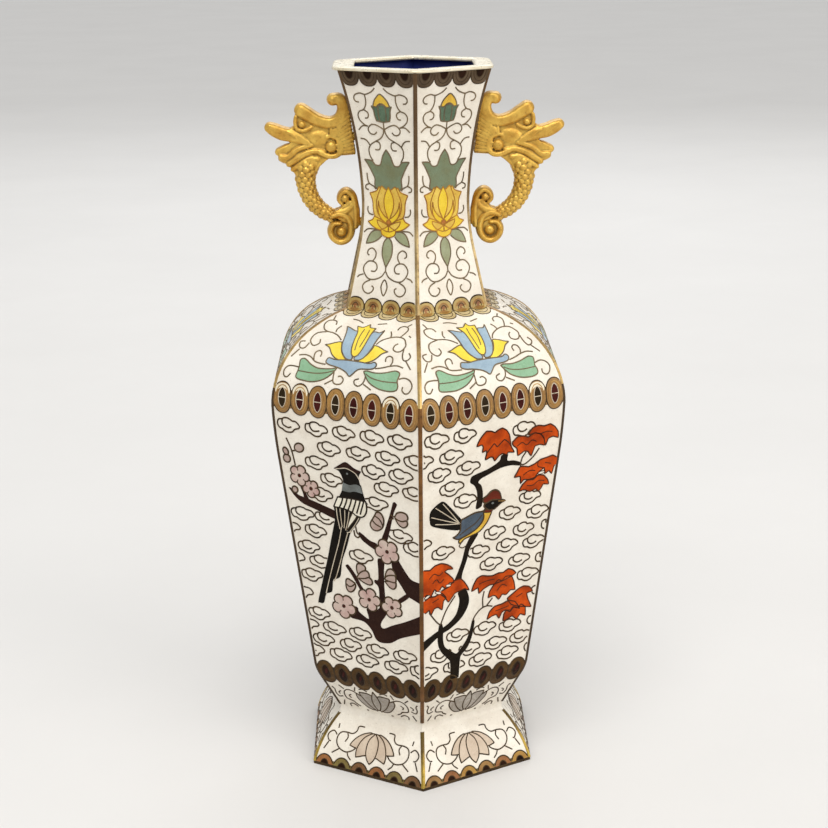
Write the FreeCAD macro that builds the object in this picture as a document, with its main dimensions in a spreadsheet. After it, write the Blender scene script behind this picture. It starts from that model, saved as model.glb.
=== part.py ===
import FreeCAD, Part
import Sketcher
import math
import os

# Hexagonal cloisonne vase with a pair of dragon handles, in millimetres, +Z up.
# The origin is the centre of the face that the vase stands on. A flat side faces +X and
# another faces -X, where the handles are, and a corner points along -Y.
#
# The wall is the same sandwich all the way up: enamel and brass corner strips outside, a
# sheet of copper, and a lining of counter-enamel. Every layer of every section is a slice of
# one outer profile, offset inwards, drawn for the side that faces +X and repeated six times.

SIDES = 6
V = FreeCAD.Vector

# The outer profile from the mouth down. Each station is its distance from the axis, measured
# square to a side, its height, and the tilt of the wall's outward normal in degrees.
STATIONS = {
    "rim": (25.7, 252.8, 0.0),
    "mouth": (25.14, 250.9, -16.4),
    "throat": (18.36, 208.3, 0.0),
    "flare": (20.3, 190.5, 12.4),
    "collar": (24.04, 173.3, 12.4),
    "crease": (24.5, 171.2, 41.0),
    "apron": (26.9, 170.33, 70.0),
    "bend": (39.2, 163.9, 53.0),
    "belt_top": (50.0, 146.6, 12.0),
    "belt_low": (50.75, 140.2, -2.0),
    "swell": (49.2, 122.0, -7.2),
    "girdle_top": (38.75, 40.1, -10.0),
    "girdle_low": (36.6, 34.2, -26.0),
    "waist_top": (30.3, 21.4, -27.0),
    "waist_low": (30.6, 17.9, 45.0),
    "foot_top": (39.75, 2.6, 17.0),
    "foot_low": (40.2, 1.2, 0.0),
}

# Radius of the curve from each station to the next one down. A positive radius bulges
# outwards, a negative one is hollow, and a straight run has none.
BENDS = {
    "rim": -169.0,
    "mouth": -169.0,
    "throat": -83.0,
    "apron": 42.8,
    "bend": 31.0,
    "belt_top": 26.4,
    "belt_low": 220.0,
    "girdle_top": 21.0,
    "waist_top": -3.0,
    "waist_low": 36.5,
}

# Right handle in side view, clockwise from the foot of the mane: distance from the axis and
# height of each corner, and the radius of the curve from it to the next, as in BENDS.
HANDLE = {
    "mane_low": (19.7, 222.4, -169.0),
    "mane_top": (22.9, 241.0, 4.4),
    "horn_tip": (29.8, 243.0, 2.9),
    "horn_hook": (28.4, 238.4, -2.6),
    "brow_back": (31.4, 236.0, 0.0),
    "brow_rise": (36.6, 239.8, 3.2),
    "brow_front": (41.2, 237.4, 0.0),
    "eye_low": (41.8, 232.2, -8.0),
    "nose_top": (48.4, 234.5, 2.6),
    "nose_tip": (52.3, 232.4, 5.0),
    "nose_low": (48.8, 228.6, 0.0),
    "mouth_back": (42.2, 227.0, 0.0),
    "lip_front": (48.9, 224.0, 3.6),
    "chin": (45.2, 219.4, 0.0),
    "gullet": (42.4, 216.2, 26.0),
    "belly": (37.6, 203.2, 14.0),
    "scroll_side": (31.0, 199.2, 6.2),
    "scroll_base": (26.6, 190.7, 5.2),
    "scroll_back": (21.6, 196.8, 0.0),
    "curl_back": (20.9, 206.8, 3.7),
    "curl_top": (26.6, 210.6, 3.2),
    "curl_notch": (27.2, 205.6, -7.4),
    "grip_low": (33.6, 208.4, -12.0),
    "grip_top": (33.6, 217.2, -8.0),
    "grip_end": (28.6, 221.6, 0.0),
}

SIZES = {
    # depth of each face of the wall under the outer profile
    "strip_face": -0.2,
    "enamel_face": 0.0,
    "copper_face": 1.0,
    "lining_face": 1.8,
    "inner_face": 2.5,
    # half the width of a corner strip, and the outline that trims a side to its sector
    "strip_half": 0.7,
    "trim_near": 5.0,
    "trim_far": 70.0,
    "trim_reach": 60.0,
    "side_length": 80.0,
    # the brass lip round the mouth
    "lip_outer": 26.4,
    "lip_inner": 20.5,
    "lip_base": 252.8,
    "lip_top": 254.0,
    "lip_round": 0.6,
    # the brass ring under the foot
    "ring_outer": 40.2,
    "ring_inner": 37.4,
    "ring_top": 1.2,
    # the floor of the body, with enamel above and below
    "floor_half": 28.0,
    "floor_base": 19.2,
    "floor_thick": 0.8,
    "glaze_thick": 0.5,
    # the dragon handles and their pegs
    "handle_thick": 9.0,
    "peg_radius": 1.5,
    "peg_end": 24.5,
    "upper_peg_start": 18.5,
    "upper_peg_height": 229.0,
    "lower_peg_start": 17.1,
    "lower_peg_height": 199.0,
}

# Layers of the wall, as the faces that bound them, from the outside in.
STRIP = ("strip_face", "copper_face")
ENAMEL = ("enamel_face", "copper_face")
SHEET = ("copper_face", "lining_face")
LINING = ("lining_face", "inner_face")

# Sections of the vase, as the stations that they pass.
NECK = ("rim", "mouth", "throat", "flare", "collar", "crease")
SHOULDER = ("crease", "apron", "bend", "belt_top")
BODY = ("belt_top", "belt_low", "swell", "girdle_top")
UNDERBODY = ("girdle_top", "girdle_low", "waist_top")
FOOT = ("waist_top", "waist_low", "foot_top", "foot_low")

# node: stations, layer, and the part of each side that the piece covers
WALLS = {
    "neck_shell": (NECK, SHEET, "whole"),
    "shoulder_shell": (SHOULDER, SHEET, "whole"),
    "body_shell": (BODY, SHEET, "whole"),
    "underbody_shell": (UNDERBODY, SHEET, "whole"),
    "foot_shell": (FOOT, SHEET, "whole"),
    "neck_lining": (NECK, LINING, "whole"),
    "shoulder_lining": (SHOULDER, LINING, "whole"),
    "body_lining": (BODY, LINING, "whole"),
    "underbody_lining": (UNDERBODY, LINING, "whole"),
    "foot_lining": (("waist_low", "foot_top", "foot_low"), LINING, "whole"),
    "mouth_band": (("rim", "mouth"), ENAMEL, "middle"),
    "neck_enamel": (("mouth", "throat", "flare", "collar"), ENAMEL, "middle"),
    "collar_band": (("collar", "crease", "apron"), ENAMEL, "middle"),
    "shoulder_enamel": (("apron", "bend", "belt_top"), ENAMEL, "middle"),
    "belt_band": (("belt_top", "belt_low"), ENAMEL, "middle"),
    "body_enamel": (("belt_low", "swell", "girdle_top"), ENAMEL, "middle"),
    "girdle_band": (("girdle_top", "girdle_low"), ENAMEL, "middle"),
    "underbody_enamel": (("girdle_low", "waist_top"), ENAMEL, "middle"),
    "waist_enamel": (("waist_top", "waist_low"), ENAMEL, "whole"),
    "foot_enamel": (("waist_low", "foot_top"), ENAMEL, "middle"),
    "foot_band": (("foot_top", "foot_low"), ENAMEL, "middle"),
    "neck_strips": (NECK, STRIP, "corners"),
    "shoulder_strips": (SHOULDER, STRIP, "corners"),
    "body_strips": (BODY, STRIP, "corners"),
    "underbody_strips": (UNDERBODY, STRIP, "corners"),
    "foot_strips": (("waist_low", "foot_top", "foot_low"), STRIP, "corners"),
}
PEGGED_WALLS = ("neck_shell", "neck_enamel")
PEGS = ("upper_peg", "lower_peg")

doc = FreeCAD.newDocument("cloisonne_vase")
sizes = doc.addObject("Spreadsheet::Sheet", "sizes")


def fill_sheet():
    """Puts every driving dimension in a cell of its own, named by its alias."""
    cells = dict(SIZES)
    for name, (half, height, tilt) in STATIONS.items():
        cells[name + "_half"] = half
        cells[name + "_height"] = height
        cells[name + "_tilt"] = tilt
    for name, radius in BENDS.items():
        cells[name + "_bend"] = radius
    for name, (half, height, radius) in HANDLE.items():
        cells["dragon_" + name + "_half"] = half
        cells["dragon_" + name + "_height"] = height
        cells["dragon_" + name + "_bend"] = radius
    for row, (alias, value) in enumerate(cells.items(), start=1):
        sizes.set(f"A{row}", alias.replace("_", " "))
        sizes.set(f"B{row}", str(value))
        sizes.setAlias(f"B{row}", alias)
    doc.recompute()


def value_of(expression):
    """Works out an expression of the sheet's cells, for a sketch's first geometry."""
    return float(sizes.evalExpression(expression))


def origin_feature(body, role):
    """Returns one of the body's own origin planes or axes."""
    return next(item for item in body.Origin.OriginFeatures if item.Role == role)


def new_body(name):
    body = doc.addObject("PartDesign::Body", name)
    body.Label = name
    body.AllowCompound = True
    return body


def new_sketch(body, name, role):
    sketch = body.newObject("Sketcher::SketchObject", name)
    sketch.AttachmentSupport = (origin_feature(body, role), [""])
    sketch.MapMode = "FlatFace"
    return sketch


def bind_distance(sketch, kind, geo, end, expression):
    """Holds one end of a line or arc at a distance from the origin, along one axis."""
    value = value_of(expression)
    if value < 0.0:
        constraint = Sketcher.Constraint(kind, geo, end, -1, 1, -value)
        expression = f"-({expression})"
    else:
        constraint = Sketcher.Constraint(kind, -1, 1, geo, end, value)
    index = sketch.addConstraint(constraint)
    sketch.setExpression(f"Constraints[{index}]", expression)


def arc_between(start, end, radius):
    """Returns the shorter arc between two points. A positive radius turns clockwise."""
    chord = end.sub(start)
    half = chord.Length / 2.0
    along = V(chord)
    along.normalize()
    right = V(along.y, -along.x, 0)
    rise = math.sqrt(radius * radius - half * half)
    centre = start.add(chord.multiply(0.5)).add(right.multiply(math.copysign(rise, radius)))
    first, last = (end, start) if radius > 0 else (start, end)
    circle = Part.Circle(centre, V(0, 0, 1), abs(radius))
    first_angle = math.atan2(first.y - centre.y, first.x - centre.x)
    last_angle = math.atan2(last.y - centre.y, last.x - centre.x)
    return Part.ArcOfCircle(circle, first_angle, last_angle)


def draw_outline(sketch, corners):
    """Draws a closed outline, clockwise. Each corner is the expressions of its two
    coordinates, and of the radius of the curve to the next corner, or None where it is
    straight."""
    points = [V(value_of(across), value_of(up), 0) for across, up, _ in corners]
    ends = []
    for index, (_, _, bend) in enumerate(corners):
        start = points[index]
        end = points[(index + 1) % len(points)]
        if bend is None:
            geo = sketch.addGeometry(Part.LineSegment(start, end), False)
            ends.append((geo, 1, 2))
            continue
        radius = value_of(bend)
        geo = sketch.addGeometry(arc_between(start, end, radius), False)
        ends.append((geo, 2, 1) if radius > 0 else (geo, 1, 2))
        held = sketch.addConstraint(Sketcher.Constraint("Radius", geo, abs(radius)))
        sketch.setExpression(f"Constraints[{held}]", f"abs({bend})")
    for index, (across, up, _) in enumerate(corners):
        geo, start, _ = ends[index]
        last_geo, _, last_end = ends[index - 1]
        sketch.addConstraint(Sketcher.Constraint("Coincident", last_geo, last_end, geo, start))
        bind_distance(sketch, "DistanceX", geo, start, across)
        bind_distance(sketch, "DistanceY", geo, start, up)


def wall_corner(station, face):
    """Returns the expressions of the point of the wall at a station and a depth."""
    across = f"sizes.{station}_half - sizes.{face} * cos(sizes.{station}_tilt * 1 deg)"
    up = f"sizes.{station}_height - sizes.{face} * sin(sizes.{station}_tilt * 1 deg)"
    return across, up


def wall_outline(stations, layer):
    """Returns the outline of a layer: down its outer face, then up its inner one."""
    outer, inner = layer
    corners = []
    for station in stations:
        bend = None
        if station in BENDS and station != stations[-1]:
            bend = f"sizes.{station}_bend - sizes.{outer}"
        corners.append((*wall_corner(station, outer), bend))
    for index in range(len(stations) - 1, -1, -1):
        above = stations[index - 1] if index else None
        bend = f"sizes.{inner} - sizes.{above}_bend" if above in BENDS else None
        corners.append((*wall_corner(stations[index], inner), bend))
    return corners


def sector_edge(distance, gap):
    """Returns how far a sector's edge is from its middle plane, at a distance from the axis,
    where the edge lies a gap short of the corner's own plane."""
    return f"(sizes.{distance} - 2 * {gap}) * tan(30 deg)"


def trim_outlines(cover):
    """Returns the outlines that are cut from a straight length of wall to leave its part of
    the sector: all of it, its middle between the corner strips, or only its corners."""
    gap = "sizes.strip_half" if cover == "middle" else "0"
    near = sector_edge("trim_near", gap)
    far = sector_edge("trim_far", gap)
    outlines = [
        [("sizes.trim_near", "sizes.trim_reach", None), ("sizes.trim_far", "sizes.trim_reach", None),
         ("sizes.trim_far", far, None), ("sizes.trim_near", near, None)],
        [("sizes.trim_near", f"-{near}", None), ("sizes.trim_far", f"-{far}", None),
         ("sizes.trim_far", "-sizes.trim_reach", None), ("sizes.trim_near", "-sizes.trim_reach", None)],
    ]
    if cover == "corners":
        near = sector_edge("trim_near", "sizes.strip_half")
        far = sector_edge("trim_far", "sizes.strip_half")
        outlines.append([
            ("sizes.trim_near", near, None), ("sizes.trim_far", far, None),
            ("sizes.trim_far", f"-{far}", None), ("sizes.trim_near", f"-{near}", None)])
    return outlines


def six_sided(name, outline, cover):
    """Makes a body whose section, square to each of its six sides, is the outline."""
    body = new_body(name)
    section = new_sketch(body, name + "_section", "XZ_Plane")
    draw_outline(section, outline)
    side = body.newObject("PartDesign::Pad", name + "_side")
    side.Profile = section
    side.SideType = "Symmetric"
    side.setExpression("Length", "sizes.side_length")

    trim_sketch = new_sketch(body, name + "_trim", "XY_Plane")
    for corners in trim_outlines(cover):
        draw_outline(trim_sketch, corners)
    trim = body.newObject("PartDesign::Pocket", name + "_sector")
    trim.Profile = trim_sketch
    trim.Type = "ThroughAll"
    trim.Reversed = True
    doc.recompute()

    pattern = body.newObject("PartDesign::PolarPattern", name + "_sides")
    pattern.TransformMode = "Whole shape"
    pattern.Originals = [side, trim]
    pattern.Axis = (origin_feature(body, "Z_Axis"), [""])
    pattern.Angle = 360
    pattern.Occurrences = SIDES
    body.Tip = pattern
    return body


def add_circles(sketch):
    """Draws the section of both pegs, as seen along X."""
    for peg in PEGS:
        height = f"sizes.{peg}_height"
        circle = Part.Circle(V(0, value_of(height), 0), V(0, 0, 1), value_of("sizes.peg_radius"))
        geo = sketch.addGeometry(circle, False)
        sketch.addConstraint(Sketcher.Constraint("PointOnObject", geo, 3, -2))
        bind_distance(sketch, "DistanceY", geo, 3, height)
        held = sketch.addConstraint(Sketcher.Constraint("Radius", geo, value_of("sizes.peg_radius")))
        sketch.setExpression(f"Constraints[{held}]", "sizes.peg_radius")


def drill_for_pegs(body):
    """Cuts the pegs' holes through the sides that face +X and -X."""
    holes = new_sketch(body, body.Name + "_peg_circles", "YZ_Plane")
    add_circles(holes)
    drill = body.newObject("PartDesign::Pocket", body.Name + "_peg_holes")
    drill.Profile = holes
    drill.Type = "Length"
    drill.SideType = "Symmetric"
    drill.setExpression("Length", "2 * sizes.trim_far")
    body.Tip = drill


def make_walls():
    for name, (stations, layer, cover) in WALLS.items():
        body = six_sided(name, wall_outline(stations, layer), cover)
        if name in PEGGED_WALLS:
            drill_for_pegs(body)


def make_rims():
    """Makes the lip round the mouth and the ring under the foot."""
    lip = [
        ("sizes.lip_inner", "sizes.lip_base", None),
        ("sizes.lip_inner", "sizes.lip_top", None),
        ("sizes.lip_outer - sizes.lip_round", "sizes.lip_top", "sizes.lip_round"),
        ("sizes.lip_outer", "sizes.lip_top - sizes.lip_round", None),
        ("sizes.lip_outer", "sizes.lip_base", None),
    ]
    ring = [
        ("sizes.ring_inner", "0", None),
        ("sizes.ring_inner", "sizes.ring_top", None),
        ("sizes.ring_outer", "sizes.ring_top", None),
        ("sizes.ring_outer", "0", None),
    ]
    six_sided("mouth_rim", lip, "whole")
    six_sided("foot_rim", ring, "whole")


def make_plate(name, base, thickness):
    """Makes one layer of the floor, a hexagonal plate."""
    plate = doc.addObject("Part::Prism", name)
    plate.Label = name
    plate.Polygon = SIDES
    plate.Placement = FreeCAD.Placement(V(0, 0, 0), FreeCAD.Rotation(V(0, 0, 1), 30))
    plate.setExpression("Circumradius", "sizes.floor_half / cos(30 deg)")
    plate.setExpression("Height", thickness)
    plate.setExpression("Placement.Base.z", base)


def make_floor():
    make_plate("base_plate", "sizes.floor_base", "sizes.floor_thick")
    make_plate("base_enamel", "sizes.floor_base - sizes.glaze_thick", "sizes.glaze_thick")
    make_plate("floor_enamel", "sizes.floor_base + sizes.floor_thick", "sizes.glaze_thick")


def make_handle(name, turn):
    """Makes a dragon handle, a flat casting with a socket for each peg."""
    body = new_body(name)
    side_view = new_sketch(body, name + "_side_view", "XZ_Plane")
    corners = []
    for corner, (_, _, radius) in HANDLE.items():
        cell = f"sizes.dragon_{corner}"
        corners.append((f"{cell}_half", f"{cell}_height", f"{cell}_bend" if radius else None))
    draw_outline(side_view, corners)
    casting = body.newObject("PartDesign::Pad", name + "_casting")
    casting.Profile = side_view
    casting.SideType = "Symmetric"
    casting.setExpression("Length", "sizes.handle_thick")
    doc.recompute()

    socket_sketch = new_sketch(body, name + "_socket_circles", "YZ_Plane")
    add_circles(socket_sketch)
    sockets = body.newObject("PartDesign::Pocket", name + "_sockets")
    sockets.Profile = socket_sketch
    sockets.Type = "Length"
    sockets.Reversed = True
    sockets.setExpression("Length", "sizes.peg_end")
    body.Tip = sockets
    body.Placement = FreeCAD.Placement(V(0, 0, 0), FreeCAD.Rotation(V(0, 0, 1), turn))
    doc.recompute()
    if not sockets.Shape.Volume < casting.Shape.Volume:
        raise RuntimeError(f"{name}: its sockets were not cut")


def make_peg(name, peg, side, turn):
    """Makes a round peg that is soldered into the copper and holds a handle."""
    pin = doc.addObject("Part::Cylinder", name)
    pin.Label = name
    pin.Placement = FreeCAD.Placement(V(0, 0, 0), FreeCAD.Rotation(V(0, 1, 0), turn))
    pin.setExpression("Radius", "sizes.peg_radius")
    pin.setExpression("Height", f"sizes.peg_end - sizes.{peg}_start")
    pin.setExpression("Placement.Base.x", f"{side} * sizes.{peg}_start")
    pin.setExpression("Placement.Base.z", f"sizes.{peg}_height")


def make_handles():
    make_handle("dragon_handle_right", 0)
    make_handle("dragon_handle_left", 180)
    for peg in PEGS:
        make_peg(peg + "_right", peg, 1, 90)
        make_peg(peg + "_left", peg, -1, -90)


def check_objects():
    """Stops if any object failed or any sub-part's shape is not a sound solid."""
    for item in doc.Objects:
        if "Invalid" in item.State or "Error" in item.State:
            raise RuntimeError(f"{item.Name} is {item.State}")
    for part in sub_parts():
        if part.Shape.isNull() or not part.Shape.isValid() or not part.Shape.Solids:
            raise RuntimeError(f"{part.Name} has no sound shape")


def sub_parts():
    kinds = ("PartDesign::Body", "Part::Prism", "Part::Cylinder")
    return [item for item in doc.Objects if item.TypeId in kinds]


def write_parts():
    os.makedirs("parts", exist_ok=True)
    for part in sub_parts():
        part.Shape.exportStep(f"parts/{part.Label}.step")
        box = part.Shape.BoundBox
        print(f"{part.Label}: {len(part.Shape.Solids)} solids, {part.Shape.Volume:.0f} mm3, "
              f"z {box.ZMin:.1f} to {box.ZMax:.1f}")


fill_sheet()
make_walls()
make_rims()
make_floor()
make_handles()
doc.recompute()
check_objects()
write_parts()
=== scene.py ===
import math
import random

import bpy
import numpy as np
from mathutils import Matrix, Vector
from mathutils.geometry import delaunay_2d_cdt


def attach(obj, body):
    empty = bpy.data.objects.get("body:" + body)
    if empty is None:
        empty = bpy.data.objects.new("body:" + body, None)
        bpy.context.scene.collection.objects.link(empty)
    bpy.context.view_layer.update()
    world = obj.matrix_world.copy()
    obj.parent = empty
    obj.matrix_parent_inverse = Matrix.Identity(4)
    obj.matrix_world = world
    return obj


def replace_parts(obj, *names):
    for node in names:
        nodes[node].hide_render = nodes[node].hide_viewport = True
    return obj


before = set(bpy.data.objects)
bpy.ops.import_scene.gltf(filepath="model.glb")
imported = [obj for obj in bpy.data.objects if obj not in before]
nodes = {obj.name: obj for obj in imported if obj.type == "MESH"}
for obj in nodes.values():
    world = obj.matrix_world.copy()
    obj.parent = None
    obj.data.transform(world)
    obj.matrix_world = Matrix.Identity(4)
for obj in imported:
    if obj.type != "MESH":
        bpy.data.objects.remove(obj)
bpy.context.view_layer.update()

# The decoration of the vase: thin cells of coloured enamel and the wires between them, laid on
# the six sides of the frame, and the two cast dragons. Drawings are in millimetres on a side
# rolled out flat: u runs to the right seen from outside, s runs down the side from the rim.

MM = 0.001
TAN30 = math.tan(math.radians(30.0))

# The outer profile of the frame: distance from the axis, height, radius of the curve below.
PROFILE = (
    ("rim", 25.7, 252.8, -169.0),
    ("mouth", 25.14, 250.9, -169.0),
    ("throat", 18.36, 208.3, -83.0),
    ("flare", 20.3, 190.5, 0.0),
    ("collar", 24.04, 173.3, 0.0),
    ("crease", 24.5, 171.2, 0.0),
    ("apron", 26.9, 170.33, 42.8),
    ("bend", 39.2, 163.9, 31.0),
    ("belt_top", 50.0, 146.6, 26.4),
    ("belt_low", 50.75, 140.2, 220.0),
    ("swell", 49.2, 122.0, 0.0),
    ("girdle_top", 38.75, 40.1, 21.0),
    ("girdle_low", 36.6, 34.2, 0.0),
    ("waist_top", 30.3, 21.4, -3.0),
    ("waist_low", 30.6, 17.9, 36.5),
    ("foot_top", 39.75, 2.6, 0.0),
    ("foot_low", 40.2, 1.2, 0.0),
)
ARC_STEPS = 40
STRIP_HALF = 0.7
SLOPE_REACH = 0.05
TINY = 1e-9

# Spacing of the points along a drawn curve, and how far it swings out at its knots.
PATH_STEP = 0.5
PATH_PULL = 0.5

# Where the zero of a section's drawings lies on the rolled-out side.
SHOULDER_DOWN = 79.93
BODY_DOWN = 117.2
FOOT_DOWN = 223.69

# Heights of the layers over the enamel, the widths of the wires, and how far a wire reaches from
# its middle, as shares of its width: at its foot, at its top, and for the part that has to stay
# clear of the strips along the corners.
CELL_SINK = -0.06
CELL_LIFT = 0.07
LEVEL_LIFT = 0.02
ORDER_LIFT = 0.0004
WIRE_RISE = 0.06
WIRE_WIDTH = 0.54
BODY_WIDTH = 0.66
FINE_WIDTH = 0.46
BUD_WIDTH = 0.7
WIRE_FOOT = 0.5
WIRE_TOP = 0.36
WIRE_CLEAR = 0.4

# Spacing of the points inside a cell, how close to its outline they may come, and the distance
# under which two points count as one.
GRID_STEP = 1.7
GRID_GAP = 0.4 * GRID_STEP
MERGE_LIMIT = 1e-5

# The two pictures take turns round the body.
LEFT_SIDES = (240, 0, 120)
RIGHT_SIDES = (300, 60, 180)
ALL_SIDES = (240, 300, 0, 60, 120, 180)


def arc_points(start, end, radius, count):
    """Points of an arc, after its start; a positive radius bulges to the right of travel."""
    p = np.array(start)
    q = np.array(end)
    if not radius:
        return [p + (q - p) * i / count for i in range(1, count + 1)]
    chord = q - p
    length = np.hypot(*chord)
    right = np.array([chord[1], -chord[0]]) / length
    drop = math.sqrt(radius * radius - length * length / 4)
    centre = (p + q) / 2 + right * math.copysign(drop, radius)
    first = math.atan2(p[1] - centre[1], p[0] - centre[0])
    last = math.atan2(q[1] - centre[1], q[0] - centre[0])
    sweep = (last - first + math.pi) % (2 * math.pi) - math.pi
    turns = [first + sweep * i / count for i in range(1, count + 1)]
    return [centre + abs(radius) * np.array([math.cos(a), math.sin(a)]) for a in turns]


def roll_out():
    """Distance down the side, distance from the axis and height, and where stations fall."""
    runs = [0.0]
    points = [np.array(PROFILE[0][1:3])]
    stations = {PROFILE[0][0]: 0.0}
    for here, there in zip(PROFILE, PROFILE[1:]):
        for point in arc_points(here[1:3], there[1:3], here[3], ARC_STEPS):
            runs.append(runs[-1] + np.hypot(*(point - points[-1])))
            points.append(point)
        stations[there[0]] = runs[-1]
    return np.array(runs), np.array(points), stations


RUN, CURVE, STATION = roll_out()


def half_width(s):
    """Half the width of a side at s."""
    return np.interp(s, RUN, CURVE[:, 0]) * TAN30


def on_side(side, path, lift):
    """Places points of a drawing on a side, lifted off the enamel, in metres."""
    u, s = path[:, 0], path[:, 1]
    out = np.interp(s, RUN, CURVE[:, 0])
    up = np.interp(s, RUN, CURVE[:, 1])
    above, below = s - SLOPE_REACH, s + SLOPE_REACH
    d_out = np.interp(below, RUN, CURVE[:, 0]) - np.interp(above, RUN, CURVE[:, 0])
    d_up = np.interp(below, RUN, CURVE[:, 1]) - np.interp(above, RUN, CURVE[:, 1])
    size = np.hypot(d_out, d_up)
    out = out - lift * d_up / size
    up = up + lift * d_out / size
    c, n = math.cos(math.radians(side)), math.sin(math.radians(side))
    return np.stack([out * c - u * n, out * n + u * c, up], 1) * MM


# ------------------------------------------------------------------ meshes

def link(name, data):
    """A new object in the scene with this data."""
    item = bpy.data.objects.new(name, data)
    bpy.context.scene.collection.objects.link(item)
    return item


def make_piece(name, mesh, material, smooth=False):
    """A piece that rides on the vase, in one material."""
    mesh.materials.clear()
    mesh.materials.append(material)
    mesh.polygons.foreach_set("use_smooth", [smooth] * len(mesh.polygons))
    mesh.update()
    piece = link(name, mesh)
    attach(piece, "root")
    return piece


class Builder:
    """Collects the closed shells of one piece."""

    def __init__(self):
        self.points = []
        self.faces = []
        self.count = 0

    def add(self, points, faces):
        self.points.append(np.asarray(points, float))
        self.faces.extend(tuple(i + self.count for i in face) for face in faces)
        self.count += len(points)

    def mesh(self, name):
        """All the shells as one mesh."""
        mesh = bpy.data.meshes.new(name)
        mesh.from_pydata(np.concatenate(self.points).tolist(), [], self.faces)
        mesh.update()
        return mesh

    def build(self, name, material, slot, smooth=False):
        return make_piece(name, self.mesh(name), material, smooth)


def skin(rings, across, closed=False):
    """Faces between neighbouring rings, with this many points across each of them. The last
    ring meets the first, or a face covers each end."""
    faces = []
    for i in range(rings if closed else rings - 1):
        a, b = i * across, (i + 1) % rings * across
        for k in range(across):
            m = (k + 1) % across
            faces.append((a + k, b + k, b + m, a + m))
    if not closed:
        last = (rings - 1) * across
        faces.append(tuple(range(across)))
        faces.append(tuple(reversed(range(last, last + across))))
    return faces


def angles(count):
    """Angles all the way round, in this many equal steps."""
    return [2 * math.pi * i / count for i in range(count)]


def rounded_square(angle, power):
    """A point of a closed curve that reaches 1 each way: a circle for 2, squarer above it."""
    c, n = math.cos(angle), math.sin(angle)
    return math.copysign(abs(c) ** (2 / power), c), math.copysign(abs(n) ** (2 / power), n)


def inside(points, outline):
    """Which of the points lie inside the closed outline."""
    x, y = points[:, 0, None], points[:, 1, None]
    x0, y0 = outline[:, 0], outline[:, 1]
    x1, y1 = np.roll(x0, -1), np.roll(y0, -1)
    rise = np.where(y1 == y0, TINY, y1 - y0)
    crossed = ((y0 > y) != (y1 > y)) & (x < (x1 - x0) * (y - y0) / rise + x0)
    return crossed.sum(1) % 2 == 1


def fill(outline, inner, turn):
    """Fills an outline, and points inside it, with triangles. Returns the points, and the faces
    of a closed shell on them: the tops, whose corners run round one way for a turn of 1 and the
    other way for -1, the undersides, on a second copy of the points, and the walls."""
    flat = [Vector(p) for p in (*outline, *inner)]
    rim = [(i, (i + 1) % len(outline)) for i in range(len(outline))]
    found = delaunay_2d_cdt(flat, rim, [], 1, MERGE_LIMIT)
    points = np.array([tuple(p) for p in found[0]])
    tops = []
    for a, b, c in found[2]:
        ab, ac = points[b] - points[a], points[c] - points[a]
        tops.append((a, b, c) if (ab[0] * ac[1] - ab[1] * ac[0]) * turn > 0 else (a, c, b))
    count = len(points)
    edges = {(face[i], face[(i + 1) % 3]): True for face in tops for i in range(3)}
    walls = [(b, a, a + count, b + count) for a, b in edges if (b, a) not in edges]
    under = [(a + count, c + count, b + count) for a, b, c in tops]
    return points, tops, under, walls


def add_cell(builder, side, outline, lift):
    """A closed, thin cell of enamel with this outline, following the side's curve."""
    low, high = outline.min(0), outline.max(0)
    grid = np.array([
        (x, y)
        for x in np.arange(low[0] + GRID_STEP / 2, high[0], GRID_STEP)
        for y in np.arange(low[1] + GRID_STEP / 2, high[1], GRID_STEP)
    ]).reshape(-1, 2)
    grid = grid[inside(grid, outline)] if len(grid) else grid
    if len(grid):
        gap = np.abs(grid[:, None] - outline[None]).sum(2).min(1)
        grid = grid[gap > GRID_GAP]
    points, tops, under, walls = fill(outline, grid, -1)
    shell = [on_side(side, points, lift), on_side(side, points, CELL_SINK)]
    builder.add(np.concatenate(shell), tops + under + walls)


def add_wire(builder, side, path, width, lift, closed):
    """A closed, low ribbon of wire along the path."""
    if closed:
        ahead, behind = np.roll(path, -1, 0), np.roll(path, 1, 0)
    else:
        ahead = np.concatenate([path[1:], path[-1:]])
        behind = np.concatenate([path[:1], path[:-1]])
    way = ahead - behind
    way /= np.maximum(np.hypot(way[:, 0], way[:, 1]), TINY)[:, None]
    across = np.stack([-way[:, 1], way[:, 0]], 1)
    rails = [
        on_side(side, path + across * width * share, height)
        for share, height in ((WIRE_FOOT, CELL_SINK), (WIRE_TOP, lift),
                              (-WIRE_TOP, lift), (-WIRE_FOOT, CELL_SINK))
    ]
    points = np.stack(rails, 1).reshape(-1, 3)
    builder.add(points, skin(len(path), len(rails), closed))


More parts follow.
